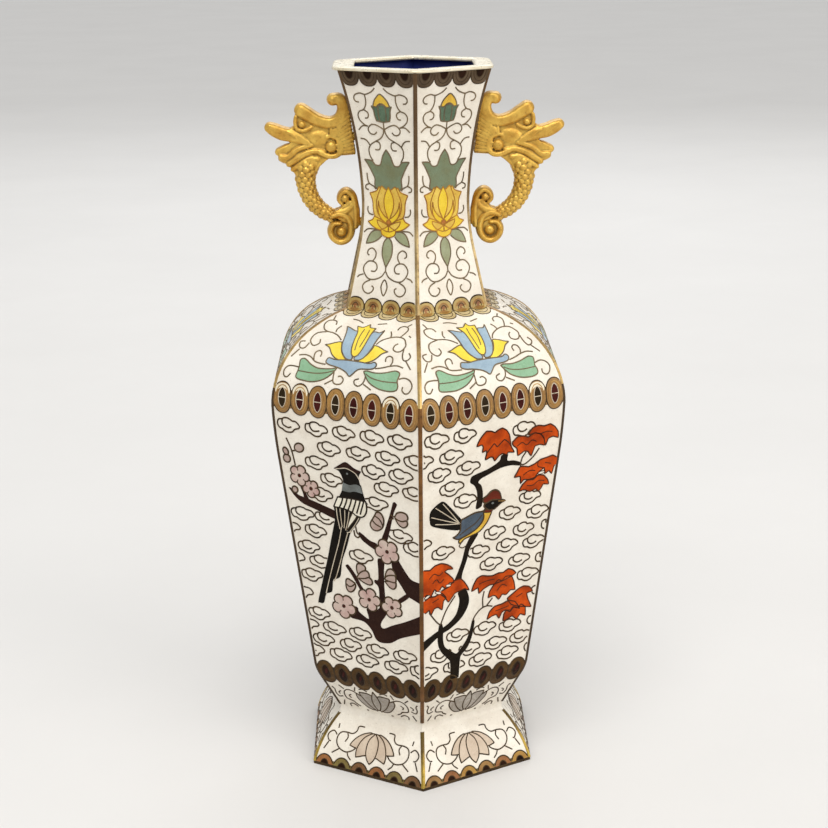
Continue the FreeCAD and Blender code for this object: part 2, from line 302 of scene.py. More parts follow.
def smooth(points, closed, step=PATH_STEP, pull=PATH_PULL):
    """A spline through the points; a point given twice in a row is a corner."""
    corners = [i for i in range(len(points) - 1) if points[i] == points[i + 1]]
    if corners and closed:
        first = corners[0]
        points = points[first + 1:] + points[:first + 1]
        points = points + [points[0]]
        closed = False
    if corners:
        runs, run = [], [points[0]]
        for point in points[1:]:
            if point == run[-1]:
                runs.append(run)
                run = [point]
            else:
                run.append(point)
        runs.append(run)
        parts = [smooth(run, False, step, pull) for run in runs if len(run) > 1]
        joined = [parts[0]] + [part[1:] for part in parts[1:]]
        path = np.concatenate(joined)
        return path[:-1] if np.allclose(path[0], path[-1]) else path
    knots = np.array(points, float)
    count = len(knots)
    path = []
    for i in range(count if closed else count - 1):
        p1, p2 = knots[i], knots[(i + 1) % count]
        p0 = knots[i - 1] if closed or i else p1
        p3 = knots[(i + 2) % count] if closed or i + 2 < count else p2
        parts = max(1, math.ceil(np.hypot(*(p2 - p1)) / step))
        t = (np.arange(parts) / parts)[:, None]
        m1, m2 = (p2 - p0) * pull, (p3 - p1) * pull
        path.append(
            (2 * t**3 - 3 * t**2 + 1) * p1 + (t**3 - 2 * t**2 + t) * m1
            + (3 * t**2 - 2 * t**3) * p2 + (t**3 - t**2) * m2
        )
    if not closed:
        path.append(knots[-1:])
    return np.concatenate(path)


def mirror(points):
    """The same points on the other side of the middle line."""
    return [(-u, s) for u, s in points]


def whole(half):
    """The outline of which this is the right half."""
    return half + mirror([point for point in half if point[0]])[::-1]


def oval(u, s, half_u, half_s, turn=0.0, count=28):
    """Outline of an ellipse, turned by this many degrees."""
    c, n = math.cos(math.radians(turn)), math.sin(math.radians(turn))
    ring = []
    for a in angles(count):
        x, y = half_u * math.cos(a), half_s * math.sin(a)
        ring.append((u + x * c - y * n, s + x * n + y * c))
    return np.array(ring)


class Drawing:
    """Cells and wires of one side of one section, in painter's order."""

    def __init__(self, top, bottom, down=0.0, width=WIRE_WIDTH):
        self.width = width
        self.top = STATION[top] if isinstance(top, str) else top
        self.bottom = STATION[bottom] if isinstance(bottom, str) else bottom
        self.down = down
        self.cells = []
        self.wires = []

    def path(self, points, closed, step, pull=PATH_PULL):
        """A drawn path as an array, moved down to its place on the side."""
        if not isinstance(points, np.ndarray):
            points = smooth(points, closed, step, pull)
        return points + np.array([0.0, self.down])

    def cell(self, glaze, points, level, rim=True, step=PATH_STEP, pull=PATH_PULL, width=None,
             kind="wires"):
        """A cell of this glaze, and the wire round it unless it has no rim."""
        outline = self.path(points, True, step, pull)
        self.cells.append((level, glaze, outline))
        if rim:
            self.wires.append((level, outline, True, width or self.width, kind))

    def wire(self, points, level=0, closed=False, step=PATH_STEP, width=None, kind="wires"):
        path = self.path(points, closed, step)
        self.wires.append((level, path, closed, width or self.width, kind))

    def both(self, points):
        """The wire and its mirror image."""
        self.wire(points)
        self.wire(mirror(points))

    def seen(self, level, path, width):
        """Which points of a wire show: in the panel, and under no cell of a higher level."""
        edge = half_width(path[:, 1]) - STRIP_HALF - width * WIRE_CLEAR
        shown = np.abs(path[:, 0]) <= edge
        shown &= (path[:, 1] >= self.top) & (path[:, 1] <= self.bottom)
        for above, _, outline in self.cells:
            if above > level:
                shown &= ~inside(path, outline)
        return shown

    def visible_wires(self):
        """Every run of wire that shows."""
        for level, path, closed, width, kind in self.wires:
            shown = self.seen(level, path, width)
            if shown.all():
                yield level, path, closed, width, kind
                continue
            if not shown.any():
                continue
            if closed:
                first = int(np.argmin(shown))
                path = np.roll(path, -first, 0)
                shown = np.roll(shown, -first)
            start = None
            for i in range(len(path) + 1):
                on = i < len(path) and shown[i]
                if on and start is None:
                    start = i
                if not on and start is not None:
                    if i - start > 1:
                        yield level, path[start:i], False, width, kind
                    start = None

    def lay(self, section, sides, store, split=False):
        """Lays the drawing on the sides, one piece for each glaze and one for the wires."""
        wires = list(self.visible_wires())
        for side in sides:
            for order, (level, glaze, outline) in enumerate(self.cells):
                edge = half_width(outline[:, 1]) - STRIP_HALF
                fitted = outline.copy()
                fitted[:, 0] = np.clip(outline[:, 0], -edge, edge)
                fitted[:, 1] = np.clip(outline[:, 1], self.top, self.bottom)
                lift = CELL_LIFT + LEVEL_LIFT * level + ORDER_LIFT * order
                builder = store.setdefault((section, glaze), Builder())
                add_cell(builder, side, fitted, lift)
            for level, path, closed, width, kind in wires:
                key = (section, f"{kind}_{side}" if split and kind == "wires" else kind)
                builder = store.setdefault(key, Builder())
                lift = CELL_LIFT + LEVEL_LIFT * level + WIRE_RISE
                add_wire(builder, side, path, width, lift, closed)


# ------------------------------------------------------------------ motifs

CLOUD = [
    (-4.5, -0.5), (-4.1, -1.45), (-3.4, -1.8), (-2.5, -1.9), (-1.8, -2.4), (-0.45, -2.7),
    (0.9, -2.4), (1.6, -1.9), (2.7, -1.9), (3.9, -1.45), (4.8, -0.3), (4.3, 0.5), (3.2, 0.8),
    (2.3, 1.3), (1.6, 2.2), (0, 2.6), (-1.4, 2.3), (-2.5, 1.7), (-3.6, 1.5), (-4.3, 0.6),
]
CLOUD_CURL = [(-2.4, -1.9), (-2.55, -1), (-2.2, 0), (-1.3, 0.65), (0, 0.8), (1.3, 0.25)]


def draw_clouds(drawing, rows, seed):
    """Small clouds at these centres, each bent a little differently."""
    rng = random.Random(seed)
    for s, centres in rows:
        for u in centres:
            wide, tall = rng.uniform(0.94, 1.03), rng.uniform(0.94, 1.04)
            tilt = math.radians(rng.uniform(-3.0, 4.0))
            c, n = math.cos(tilt), math.sin(tilt)
            for points, closed in ((CLOUD, True), (CLOUD_CURL, False)):
                moved = []
                for x, y in points:
                    x, y = x * wide + rng.uniform(-0.1, 0.1), y * tall + rng.uniform(-0.1, 0.1)
                    moved.append((u + x * c - y * n, s + x * n + y * c))
                drawing.wire(moved, 0, closed, step=0.6)


def draw_blossom(drawing, u, s, radius, turn, level=3):
    """A plum blossom: five round petals and a dark eye."""
    ring = []
    for a in angles(60):
        reach = radius * (0.66 + 0.34 * abs(math.cos(2.5 * (a - turn))) ** 0.55)
        ring.append((u + reach * math.cos(a), s + reach * math.sin(a)))
    drawing.cell("blossom", np.array(ring), level, width=BUD_WIDTH)
    for i in range(5):
        a = turn + math.pi / 5 + 2 * math.pi * i / 5
        notch = [(u + radius * r * math.cos(a), s + radius * r * math.sin(a))
                 for r in (0.66, 0.46)]
        drawing.wire(notch, level, width=FINE_WIDTH)
    drawing.cell("wine", oval(u, s, 0.55, 0.6, count=14), level + 1, width=FINE_WIDTH)


def draw_bud(drawing, u, s, half_u, half_s, turn=0.0):
    """A small, round, closed bud."""
    drawing.cell("bud", oval(u, s, half_u, half_s, turn, 24), 3, width=BUD_WIDTH)


def draw_petals(drawing, petals, folds=()):
    """A bud that opens: petals from the back one to the front one, and wires for the folds."""
    for level, petal in enumerate(petals, 3):
        drawing.cell("bud", petal, level, width=BUD_WIDTH)
    for fold in folds:
        drawing.wire(fold, 3, width=BUD_WIDTH)


# ------------------------------------------------------------------ drawings

def plum_and_magpie():
    """A long-tailed bird on a flowering plum branch."""
    d = Drawing("belt_low", "girdle_top", down=BODY_DOWN, width=BODY_WIDTH)
    draw_clouds(d, (
        (15.7, (-23, -11.7, -0.8, 10.3, 21.2)),
        (22.3, (-7.2, 4.5, 16, 27)),
        (28.3, (-12.8, 10, 20.7)),
        (34, (-7.3, 14.5, 25.5)),
        (40.3, (-12, 10)),
        (49.2, (-20.8, -11)), (51.2, (18.5,)),
        (55.2, (-27, -16, 24)),
        (62.1, (-19.6, 1.8)),
        (67.2, (-26.5, -15.2)),
        (73.3, (-19.5,)),
        (80.8, (-24.8,)),
        (88.7, (-18.2,)),
        (93.7, (-23.8, -12.3, -1.5)),
        (99.3, (-17.4, -6, 5, 16.3)),
        (104.4, (-22.5, -10.7, 0.4, 12.2, 22.5)),
    ), seed=11)
    # branches
    for points in (
        [(-25.3, 39.6), (-24.8, 40.5), (-23, 42.8), (-20, 45), (-15, 46.5), (-6.4, 49),
         (-6.4, 46.1), (-12, 44.3), (-16.5, 43.1), (-18.4, 42.6), (-21.5, 42), (-24, 39.9)],
        [(-20.6, 37.8), (-19.6, 41), (-19, 43.6), (-17, 44.2), (-18, 41.5), (-19, 39)],
        [(2, 52.3), (2.2, 54.2), (4, 56), (8, 58.2), (9.2, 58), (9, 55.8), (6, 54.8), (3.5, 53)],
        [(16.8, 38.6), (16, 41), (14.5, 45), (12.5, 50), (11, 53.8), (13, 54), (14.5, 50),
         (16, 45), (17.2, 41.5), (18.3, 39.2), (17.6, 38.3)],
        [(8.8, 61.5), (8.5, 66), (8.1, 69.8), (6.7, 70.2), (6.6, 71.3), (8, 73), (7.9, 78),
         (7.7, 83.5), (9.6, 83), (10.3, 78), (10.4, 72), (10.8, 66), (11.2, 62)],
        [(14.2, 63.5), (14.5, 61), (16.5, 60), (17.8, 62), (20, 65.5), (22, 67.5), (27, 68.4),
         (27, 68.4), (27, 77.5), (27, 77.5), (21.5, 75), (19.5, 74), (17, 70), (14.8, 66.5)],
        [(19.5, 73.2), (20, 74.6), (16.4, 77.6), (15, 77.8), (15.2, 76.6)],
        [(27, 79.5), (27, 79.5), (18, 84.6), (12.5, 87.2), (8.6, 89.3), (7.5, 88.3),
         (8.2, 86.3), (9.8, 84), (10.5, 82), (8, 81), (6, 82.6), (3.3, 82.2), (2.2, 82.8),
         (2.8, 86.5), (0.8, 85.8), (-1.2, 84.3), (-1.4, 83), (-3, 82.8), (-5, 86),
         (-4.5, 87.6), (0, 88), (2.2, 89.3), (3.8, 91.5), (5, 94.3), (7, 95.3), (11, 94.6),
         (15, 92), (20, 89.8), (27, 87), (27, 87)],
        [(-4.8, 67), (-4.5, 66.4), (-3.7, 66.2), (-2, 68.2), (-0.5, 70.6), (0.7, 73.2),
         (1.7, 75), (0.6, 76), (-0.1, 74.7), (-1.5, 72.2), (-3, 69.6)],
    ):
        d.cell("bark", points, 1, rim=False)
    d.wire([(-24.3, 20.5), (-23, 23.5), (-22.3, 26), (-21.6, 30.5)], 1)
    d.wire([(-22.5, 25.2), (-21, 24.8)], 1)
    d.wire([(14.6, 45.5), (16.6, 44.5)], 1)
    # bird
    d.cell("black", [
        (-5.8, 29.2), (-5.8, 29.2), (-3.5, 27.6), (-1.7, 26.4), (-0.5, 26.2), (1, 27),
        (2.5, 28), (5.2, 28.8), (5.2, 28.8), (4, 31), (4.3, 34), (4.6, 34), (5.2, 37.2),
        (5.9, 40), (6, 41), (-5.1, 41), (-4.8, 40), (-3.3, 37.2), (-2.4, 34), (-2.9, 31.5),
        (-4, 29.8)], 3, rim=False)
    d.wire([(-5, 29.2), (-3, 28.8), (-1, 28.4), (1, 28.9), (3, 30), (4.2, 32)], 4,
           width=0.38, kind="pale_wires")
    d.cell("ash", [
        (-2.6, 34), (-2.6, 34), (0, 34.6), (2.5, 34), (4.4, 34.4), (4.4, 34.4), (5.1, 37.2),
        (5.1, 37.2), (2, 36.8), (-0.5, 37.4), (-3.3, 37.2), (-3.3, 37.2)], 4, rim=False)
    d.cell("ash", oval(-0.5, 30.4, 0.42, 0.36, count=12), 4, rim=False)
    d.cell("bark", [
        (-5.8, 29.2), (-5.8, 29.2), (-3.5, 27.6), (-1.7, 26.4), (-0.5, 26.2), (1, 27),
        (2.5, 28), (5.2, 28.8), (5.2, 28.8), (3.2, 29.7), (1, 28.9), (-1, 28.4), (-3, 28.8)],
        4, rim=False)
    d.cell("pearl", [
        (-5.3, 40), (-5.3, 40), (-2, 39.8), (2, 39.8), (5.9, 40), (5.9, 40), (6.1, 42),
        (5.6, 44.5), (4, 46.2), (1.5, 46), (0, 45), (-3, 44.2), (-7.3, 44), (-7.3, 44)], 4,
        kind="dark_wires")
    for x in (-3.2, -1.5, 0.3, 2.1, 3.8, 5.2):
        d.wire([(x, 40), (x - 0.7, 42), (x - 1.9, 44.6 + x * 0.14)], 4, width=0.8,
               kind="dark_wires")
    d.cell("black", [
        (-7.3, 44), (-7.3, 44), (-3, 44.2), (0, 45), (0, 45), (-1.5, 48.5), (-3, 53),
        (-2, 51.5), (1.8, 46.3), (3.3, 46.6), (1.5, 49.5), (-1.3, 53), (-3.5, 59), (-6, 65),
        (-7.3, 71), (-8.5, 72.5), (-10, 73), (-10, 73), (-10.8, 74), (-11.5, 78), (-12.5, 79),
        (-14, 79.5), (-14, 79.5), (-14.7, 81), (-15.3, 83), (-16, 84), (-17.5, 84),
        (-17.8, 83), (-13.8, 70.5), (-12, 65), (-10, 58), (-8.5, 53), (-7.2, 48)], 2,
        rim=False)
    d.cell("pearl", [(0.1, 45.3), (0.1, 45.3), (1.7, 46.3), (-1.4, 50.6), (-3, 52.6),
                     (-3, 52.6), (-1.6, 48.8)], 3, width=FINE_WIDTH)
    for line in (
        [(-4.9, 51.5), (-6.7, 58), (-9.6, 66), (-12.2, 73.5), (-14.2, 79.6)],
        [(-2.6, 53.5), (-4.6, 59), (-6.6, 65), (-9, 71.5), (-10.4, 74)],
        [(-6.3, 44.4), (-6.2, 48), (-5.6, 52.5)], [(-4.8, 44.4), (-4.8, 48), (-4.6, 51.5)],
        [(-2.9, 44.6), (-3.2, 48), (-3.9, 51.8)], [(-1.2, 45), (-2, 48.5), (-3.3, 52.6)],
        [(-2.9, 53.4), (-1, 52.8)],
    ):
        d.wire(line, 2, width=0.42, kind="pale_wires")
    d.wire([(2.6, 46.8), (0.6, 50), (-1.6, 52.8)], 2, width=0.36, kind="pale_wires")
    d.wire([(0, 52), (0.3, 54), (1.5, 54.6), (2.3, 53.6)], 1)
    d.wire([(0.9, 50.4), (1.2, 52.6), (2, 53.4)], 1)
    # flowers
    draw_blossom(d, -16, 38.6, 3.5, 0.4, 2)
    draw_blossom(d, -20.3, 34.2, 4.0, 0.1)
    draw_blossom(d, 12.8, 58, 4.8, 0.5)
    draw_blossom(d, -7.2, 83.4, 4.9, 0.3)
    draw_blossom(d, 3.7, 78.6, 4.6, 0.0)
    draw_blossom(d, 12.8, 80, 4.2, 0.55)
    draw_bud(d, -19.3, 23.5, 1.9, 1.6, -20)
    draw_bud(d, -25, 25.6, 1.0, 1.4, -25)
    draw_bud(d, -24.8, 28.3, 1.4, 1.5)
    draw_bud(d, -22.8, 40, 1.15, 1.2)
    draw_petals(d, (
        [(9.9, 43.4), (11.4, 43.4), (12.4, 44.9), (12.5, 46.6), (12, 48.4), (11, 49.7),
         (9.2, 50.5), (7.6, 50), (7, 48.3), (8, 46.4), (9.1, 44.7)],
    ), (
        [(9.2, 44.8), (10.7, 45.7), (11.5, 46.8), (12, 48.1)],
        [(8.1, 46.8), (9.3, 48), (11.3, 48.8)],
    ))
    draw_petals(d, (
        [(17, 44.1), (17, 44.1), (18, 42.4), (19.8, 41.7), (21.6, 42.1), (22.2, 43.4),
         (21.6, 44.7), (20.1, 45.6), (18.4, 45.2)],
        [(17.1, 44.2), (17.1, 44.2), (18.4, 44.9), (20.1, 45.1), (21.6, 44.6), (21.9, 45.9),
         (21, 47.1), (19.8, 47.4), (18.3, 46.4)],
    ))
    d.wire([(15.2, 43.2), (17, 44.1)], 1)
    draw_petals(d, (
        [(0.1, 65.2), (-0.3, 66.6), (-0.2, 68.3), (0.4, 69.3), (2, 69), (3.1, 67.2),
         (3.3, 66), (2.6, 65.2), (1.3, 64.8)],
        [(-0.6, 70.6), (-0.6, 70.6), (0.7, 68.7), (2.3, 67.5), (3.8, 67.3), (4.6, 68.6),
         (4.2, 70.4), (2.2, 71.3)],
        [(0, 70.8), (0, 70.8), (2.6, 70.4), (4.4, 69.7), (5.6, 70.8), (5.4, 72.2),
         (4.2, 72.6), (2.6, 72.2), (1.3, 71.6)],
    ))
    draw_petals(d, (
        [(-5.1, 72.3), (-5.4, 74), (-5.3, 75.7), (-4.7, 76.8), (-3.6, 77), (-2.3, 76),
         (-1.5, 74.4), (-1.7, 73.2), (-3, 72.4), (-4.2, 71.9)],
    ), (
        [(-5.1, 74), (-4.2, 74.8), (-2.9, 74.5), (-1.8, 73.5)],
    ))
    draw_petals(d, (
        [(11, 68.6), (11, 68.6), (11.6, 66.4), (12.6, 65), (14, 64.6), (15.1, 65.6),
         (15.4, 67.2), (13.6, 68)],
        [(10.9, 69.9), (10.9, 69.9), (11.4, 69.8), (12.9, 69.5), (15.1, 69.6), (15.1, 71.3),
         (14.2, 72.3), (13, 72.2), (11.9, 71.2)],
        [(10.8, 69), (10.8, 69), (11.8, 67.7), (13.7, 67), (15.2, 67), (15.4, 68.4),
         (15, 69.6), (13.2, 69.6), (11.8, 69.3)],
    ))
    return d


def maple_and_warbler():
    """A crested bird on a maple."""
    d = Drawing("belt_low", "girdle_top", down=BODY_DOWN, width=BODY_WIDTH)
    draw_clouds(d, (
        (15.2, (-22.8, -11.7)), (16.7, (12.4,)),
        (22, (-28.3, -16.7)),
        (27.9, (-21.2,)), (27.4, (-9.6,)),
        (33.9, (-15.8,)),
        (39.6, (-9.9,)), (43.3, (17.2,)),
        (48, (9.2,)), (49.8, (21,)),
        (53.4, (-27.2,)), (54.5, (3.4,)), (55.6, (15.6, 27.8)),
        (58, (-17.5,)), (60.6, (-2.8, 9.1)), (61.4, (20.5,)),
        (66.6, (2.9,)), (67.6, (14.9,)), (68.6, (26.4,)),
        (74.2, (19.2,)), (81.6, (26,)),
        (92.4, (-9, 2.4)), (93.7, (13.2, 25.5)),
        (99.2, (-15.3, -3.6)), (99.6, (7.6, 18.4)),
        (105, (-21, -9.6, 1.5, 13.2, 25)),
    ), seed=23)
    # branches and twigs
    for points in (
        [(11.9, 29), (12.2, 30.3), (8, 29.5), (3.5, 29.8), (-2, 31.6), (-4, 32.3), (-5, 33.5),
         (-3.6, 35), (-2.8, 38), (-2.7, 41), (-3, 43), (-5.2, 43.5), (-5, 40), (-5.3, 37),
         (-6.5, 34.5), (-8.3, 33), (-8, 31), (-6, 30.2), (-1, 29), (3, 27), (3.8, 25),
         (6.3, 24.8), (6.4, 27.3), (9, 27.8)],
        [(-6.3, 53.8), (-3.5, 53.2), (-5, 56), (-6.5, 58.5), (-7.2, 62), (-8.8, 67.5),
         (-9.3, 70.5), (-12, 70.4), (-11, 67.5), (-9.5, 63), (-8.5, 58), (-7.8, 56)],
        [(-7.3, 74), (-5.6, 77), (-5.2, 80), (-6.2, 83), (-8.5, 86.2), (-12.5, 89),
         (-15.5, 90.2), (-19, 92.5), (-24.5, 97), (-24.5, 97), (-24.5, 93), (-20, 90),
         (-16.5, 88.3), (-13, 86.5), (-10.5, 84), (-9.5, 81), (-9.3, 78), (-10, 75)],
        [(-10.8, 110), (-10.8, 110), (-7.2, 110), (-7.2, 110), (-7.2, 103), (-6.8, 101),
         (-4.5, 98.5), (-3, 95), (-2.3, 91), (-2.2, 88), (-3.2, 87.8), (-3.8, 91), (-5, 95),
         (-7.5, 98.5), (-9, 99.8), (-11.5, 98), (-14, 95.8), (-15, 92.5), (-15.2, 88.5),
         (-16, 86), (-17, 86.5), (-17.3, 90), (-17, 94), (-15.5, 97.5), (-13, 100.5),
         (-11.3, 103)],
    ):
        d.cell("soot", points, 1, rim=False)
    for points in (
        [(-16.5, 86.5), (-18.5, 84.5), (-21.5, 80.5)], [(-16.5, 86.5), (-14.5, 81), (-11.2, 76)],
        [(-3, 88), (-2, 86), (0, 84), (2.5, 83.3), (5, 84)], [(1, 83.5), (0.6, 80), (1, 77)],
        [(2.5, 83.2), (4.8, 80.5)], [(12, 30), (12.5, 27.5), (14, 25.5)],
        [(12, 30), (14, 30), (17, 28), (19.5, 25)], [(12, 30), (12.8, 31.5), (14, 33)],
    ):
        d.wire(points, 1, width=0.6)
    # bird
    d.cell("black", [
        (-11, 48), (-12, 50.3), (-22, 47), (-23.7, 44.5), (-23.8, 41.5), (-22.5, 39.8),
        (-20, 38.2), (-18.5, 38.2), (-16.5, 40), (-12.5, 44.5), (-10.5, 47)], 2, rim=False)
    for tip in ((-23.2, 43.2), (-21.8, 39.9), (-18.9, 38.9), (-21.4, 46.2)):
        d.wire([(-11.4, 47.9), ((-11.4 + tip[0]) / 2 + 0.3, (47.9 + tip[1]) / 2 + 0.2), tip], 2,
               width=0.42, kind="pale_wires")
    d.cell("slate", [
        (-1.2, 44.2), (-2.2, 45), (-5.5, 45), (-9.5, 46.2), (-11, 47), (-11, 50.5),
        (-12.4, 52.3), (-13.8, 52.8), (-13.8, 52.8), (-12.5, 53.6), (-11, 53.8), (-7, 52.5),
        (-4, 51), (-2, 48.5), (-1.8, 46.5)], 2)
    d.wire([(-2.5, 46.3), (-5, 49), (-8.5, 50.8), (-11.2, 52.4)], 2, width=FINE_WIDTH)
    d.cell("amber", [
        (-1.8, 45.3), (1.2, 45.6), (0.8, 47.5), (-0.5, 50), (-3, 52.5), (-6, 53.5), (-9, 54.2),
        (-10.8, 55.5), (-11.3, 55), (-10.8, 54), (-7, 52.6), (-4, 51), (-2, 48.7),
        (-1.7, 46.8)], 3)
    d.cell("black", [
        (-1.8, 42.5), (0, 41.6), (1.5, 41.2), (4.9, 41.9), (5.8, 42.2), (6.9, 42.6),
        (6.9, 42.6), (5.5, 43), (4, 44), (2.5, 45), (1, 45.2), (-0.5, 44.5), (-1.7, 43.5)], 3)
    d.cell("russet", [
        (-2.5, 40.2), (-1, 39.3), (0.5, 38), (2.3, 37.7), (4, 38.8), (4.8, 40.5), (4.9, 41.8),
        (3, 41.5), (1, 41.3), (-1, 42), (-2.3, 41.5)], 4)
    d.cell("ash", oval(1.6, 42.6, 0.5, 0.42, count=12), 5, rim=False)
    d.wire([(3.8, 42.2), (5.4, 42.5), (6.8, 42.7)], 5, width=0.3, kind="gilt_wires")
    d.cell("russet", [(-1.2, 44.6), (0.5, 45), (1.8, 45), (1.2, 45.9), (-1.6, 45.6)], 4,
           width=0.3)
    d.wire([(-9.5, 54.8), (-11, 56.6), (-9.6, 57.6), (-8.3, 57.2)], 1, width=FINE_WIDTH)
    # leaves
    for points in (
        [(-6.6, 19.9), (-5.8, 18), (-4.6, 16.4), (-3, 15), (-1, 15.3), (0.5, 16), (1.8, 15.3),
         (3.5, 14.9), (5.3, 16), (6.5, 17.8), (7, 20), (7.6, 22.5), (8.9, 24.6), (6.4, 24.2),
         (5.8, 25), (4, 24.3), (2.5, 25), (1.1, 26.5), (0.2, 25), (-1, 24.8), (-2.8, 25.4),
         (-2.4, 23), (-2.8, 22), (-4.2, 22.4), (-4, 20.5), (-4.6, 19.6)],
        [(8, 20.8), (10, 19.2), (12.5, 19.3), (14.5, 20), (17, 18.9), (19.5, 19.7), (21, 21.3),
         (21.7, 24.2), (19.5, 23.6), (17.5, 24), (16.2, 27.3), (14.8, 25.5), (13.2, 25),
         (10.6, 26.2), (10, 23.5), (8.3, 22)],
        [(14.5, 19.2), (16, 17), (18.5, 16.4), (21, 17), (23.5, 16.7), (25.5, 18), (27, 20),
         (27.2, 22.3), (25, 21.5), (23, 22), (22, 24.3), (21, 21.5), (19.5, 19.7), (17, 18.9)],
        [(9.9, 34.4), (11, 32.5), (12, 30.8), (14, 31), (15.5, 31.4), (18, 30.8), (20.5, 29.5),
         (23, 29.2), (25.5, 28.8), (27.5, 30), (28.2, 31.8), (26.5, 33), (25.7, 35.8),
         (24.5, 34.5), (22.8, 35.3), (22.3, 33), (19.7, 34.5), (18.5, 36), (16, 36.3),
         (14, 36), (12.7, 37.2), (12.3, 34.5)],
        [(12.3, 40.2), (13.5, 38), (15.5, 36.5), (18, 36.7), (20, 35.4), (22.5, 36), (24.3, 38),
         (24.8, 39.7), (22.5, 39.3), (21.8, 40.5), (20.8, 41.6), (19.3, 40.6), (17, 41.2),
         (15.2, 40.3), (14, 40)],
        [(-27, 63.4), (-22.5, 63.6), (-20.5, 62.3), (-18, 61.9), (-15.5, 62.8), (-13.8, 64),
         (-13, 65), (-15, 64.8), (-16.3, 65.4), (-14.5, 67), (-12.6, 69), (-12.2, 70.6),
         (-14, 70.2), (-15.5, 72), (-17, 71), (-18.4, 73), (-20, 71.6), (-21.5, 74.4),
         (-23, 73), (-27, 75)],
        [(-27, 75.8), (-24, 75.4), (-22, 74.2), (-19.6, 74.4), (-17, 73.6), (-15, 75.8),
         (-16, 77), (-16.3, 80.3), (-18, 79), (-19.5, 79.2), (-20.8, 81.4), (-21.7, 79.3),
         (-23, 80.2), (-27, 78.4)],
        [(-18, 73.4), (-16, 72.4), (-14, 71.8), (-12.2, 69.9), (-9.5, 69.7), (-7.8, 71.3),
         (-6.3, 73.5), (-5.6, 75), (-7.5, 74), (-9.5, 74.4), (-11.5, 75), (-13.8, 77.8),
         (-15.2, 76), (-16.4, 74.8)],
        [(-4.3, 75.8), (-3.8, 73.5), (-2.5, 71.2), (-0.5, 70.5), (2, 71.2), (4, 71.5),
         (6.5, 71), (8.5, 71.2), (10.5, 70.2), (12.5, 71), (14, 72.5), (12.2, 73.4),
         (9, 74.4), (5, 75), (3, 75), (0.5, 76), (-1.2, 77.3), (-1.8, 75)],
        [(2.9, 80), (3.4, 77.5), (5, 75.2), (6.6, 73.6), (8.2, 74.4), (9.6, 73), (12.2, 73.4),
         (13.5, 76), (14.2, 79.2), (12.3, 79), (10.5, 80.5), (8.8, 80), (7.5, 81.7), (6, 80),
         (4.8, 79.6)],
        [(11.3, 82.3), (13.5, 80.8), (16, 79.3), (18, 78.8), (20.5, 79.6), (22, 81.6),
         (19.6, 82), (20.3, 84.5), (22, 88), (19.3, 87.4), (16, 86.5), (13, 85)],
        [(10.2, 91.2), (10.3, 88.6), (11.2, 87), (13, 87.4), (14, 86.2), (16, 87.2),
         (17.5, 86), (19.4, 87.6), (19.7, 91), (17.5, 90), (16, 91.7), (14, 90), (12.5, 90.6)],
        [(3.2, 88.8), (4, 86), (6, 84.3), (9, 84), (12, 83.2), (14.5, 84.2), (15.6, 85.4),
         (17, 87.6), (14.4, 86.5), (12.8, 88), (10.8, 86.8), (9.3, 87.5), (8.3, 89.6),
         (7, 87.8), (5, 88)],
        [(-2.8, 25.4), (-2.4, 23), (-1, 21.4), (0.4, 20), (1.7, 21.4), (3.2, 20.2),
         (4.5, 19.2), (6.4, 20.6), (7.6, 22.5), (8.9, 24.6), (6.4, 24.2), (5.8, 25), (4, 24.3),
         (2.5, 25), (1.1, 26.5), (0.2, 25), (-1, 24.8)],
    ):
        d.cell("maple", points, 3, pull=0.22, step=0.6, width=0.56, kind="leaf_wires")
    for points in (
        [(10, 22.6), (12, 21.6), (14, 22.8), (16, 21.4), (18, 22.2)],
        [(19.5, 19.7), (22, 19.2), (24.5, 19.6)], [(19.4, 30.2), (19.6, 32), (22.3, 33)],
        [(13.5, 34.2), (16, 33), (18.5, 33.4)], [(22.4, 31), (25, 31.8)],
        [(15.5, 38.6), (18, 38.9), (20.3, 37.6), (22.8, 38)],
        [(-22.5, 67), (-20.6, 65.4), (-18.6, 66.4), (-17, 65.4)],
        [(-21, 69), (-19.4, 67.8), (-18, 69.4), (-16.4, 68.2)], [(-20.5, 76.6), (-18, 75.6)],
        [(-1.5, 73.6), (1.5, 73), (5, 73)], [(6.4, 78), (8.4, 76), (10.5, 77)],
        [(15, 82.6), (17.6, 81.6)], [(6.5, 86.2), (9.5, 85.8), (12, 85.4)],
    ):
        d.wire(points, 3, width=0.44, kind="leaf_wires")
    for u, s, half, turn in ((-22.8, 73.9, 1.2, -25), (-18.4, 73.2, 1.3, 20),
                             (-14.4, 71.2, 1.1, 5), (21.2, 34.6, 1.4, -5)):
        d.cell("white", oval(u, s, half, 0.5, turn, 14), 4, width=0.3, kind="leaf_wires")
    return d


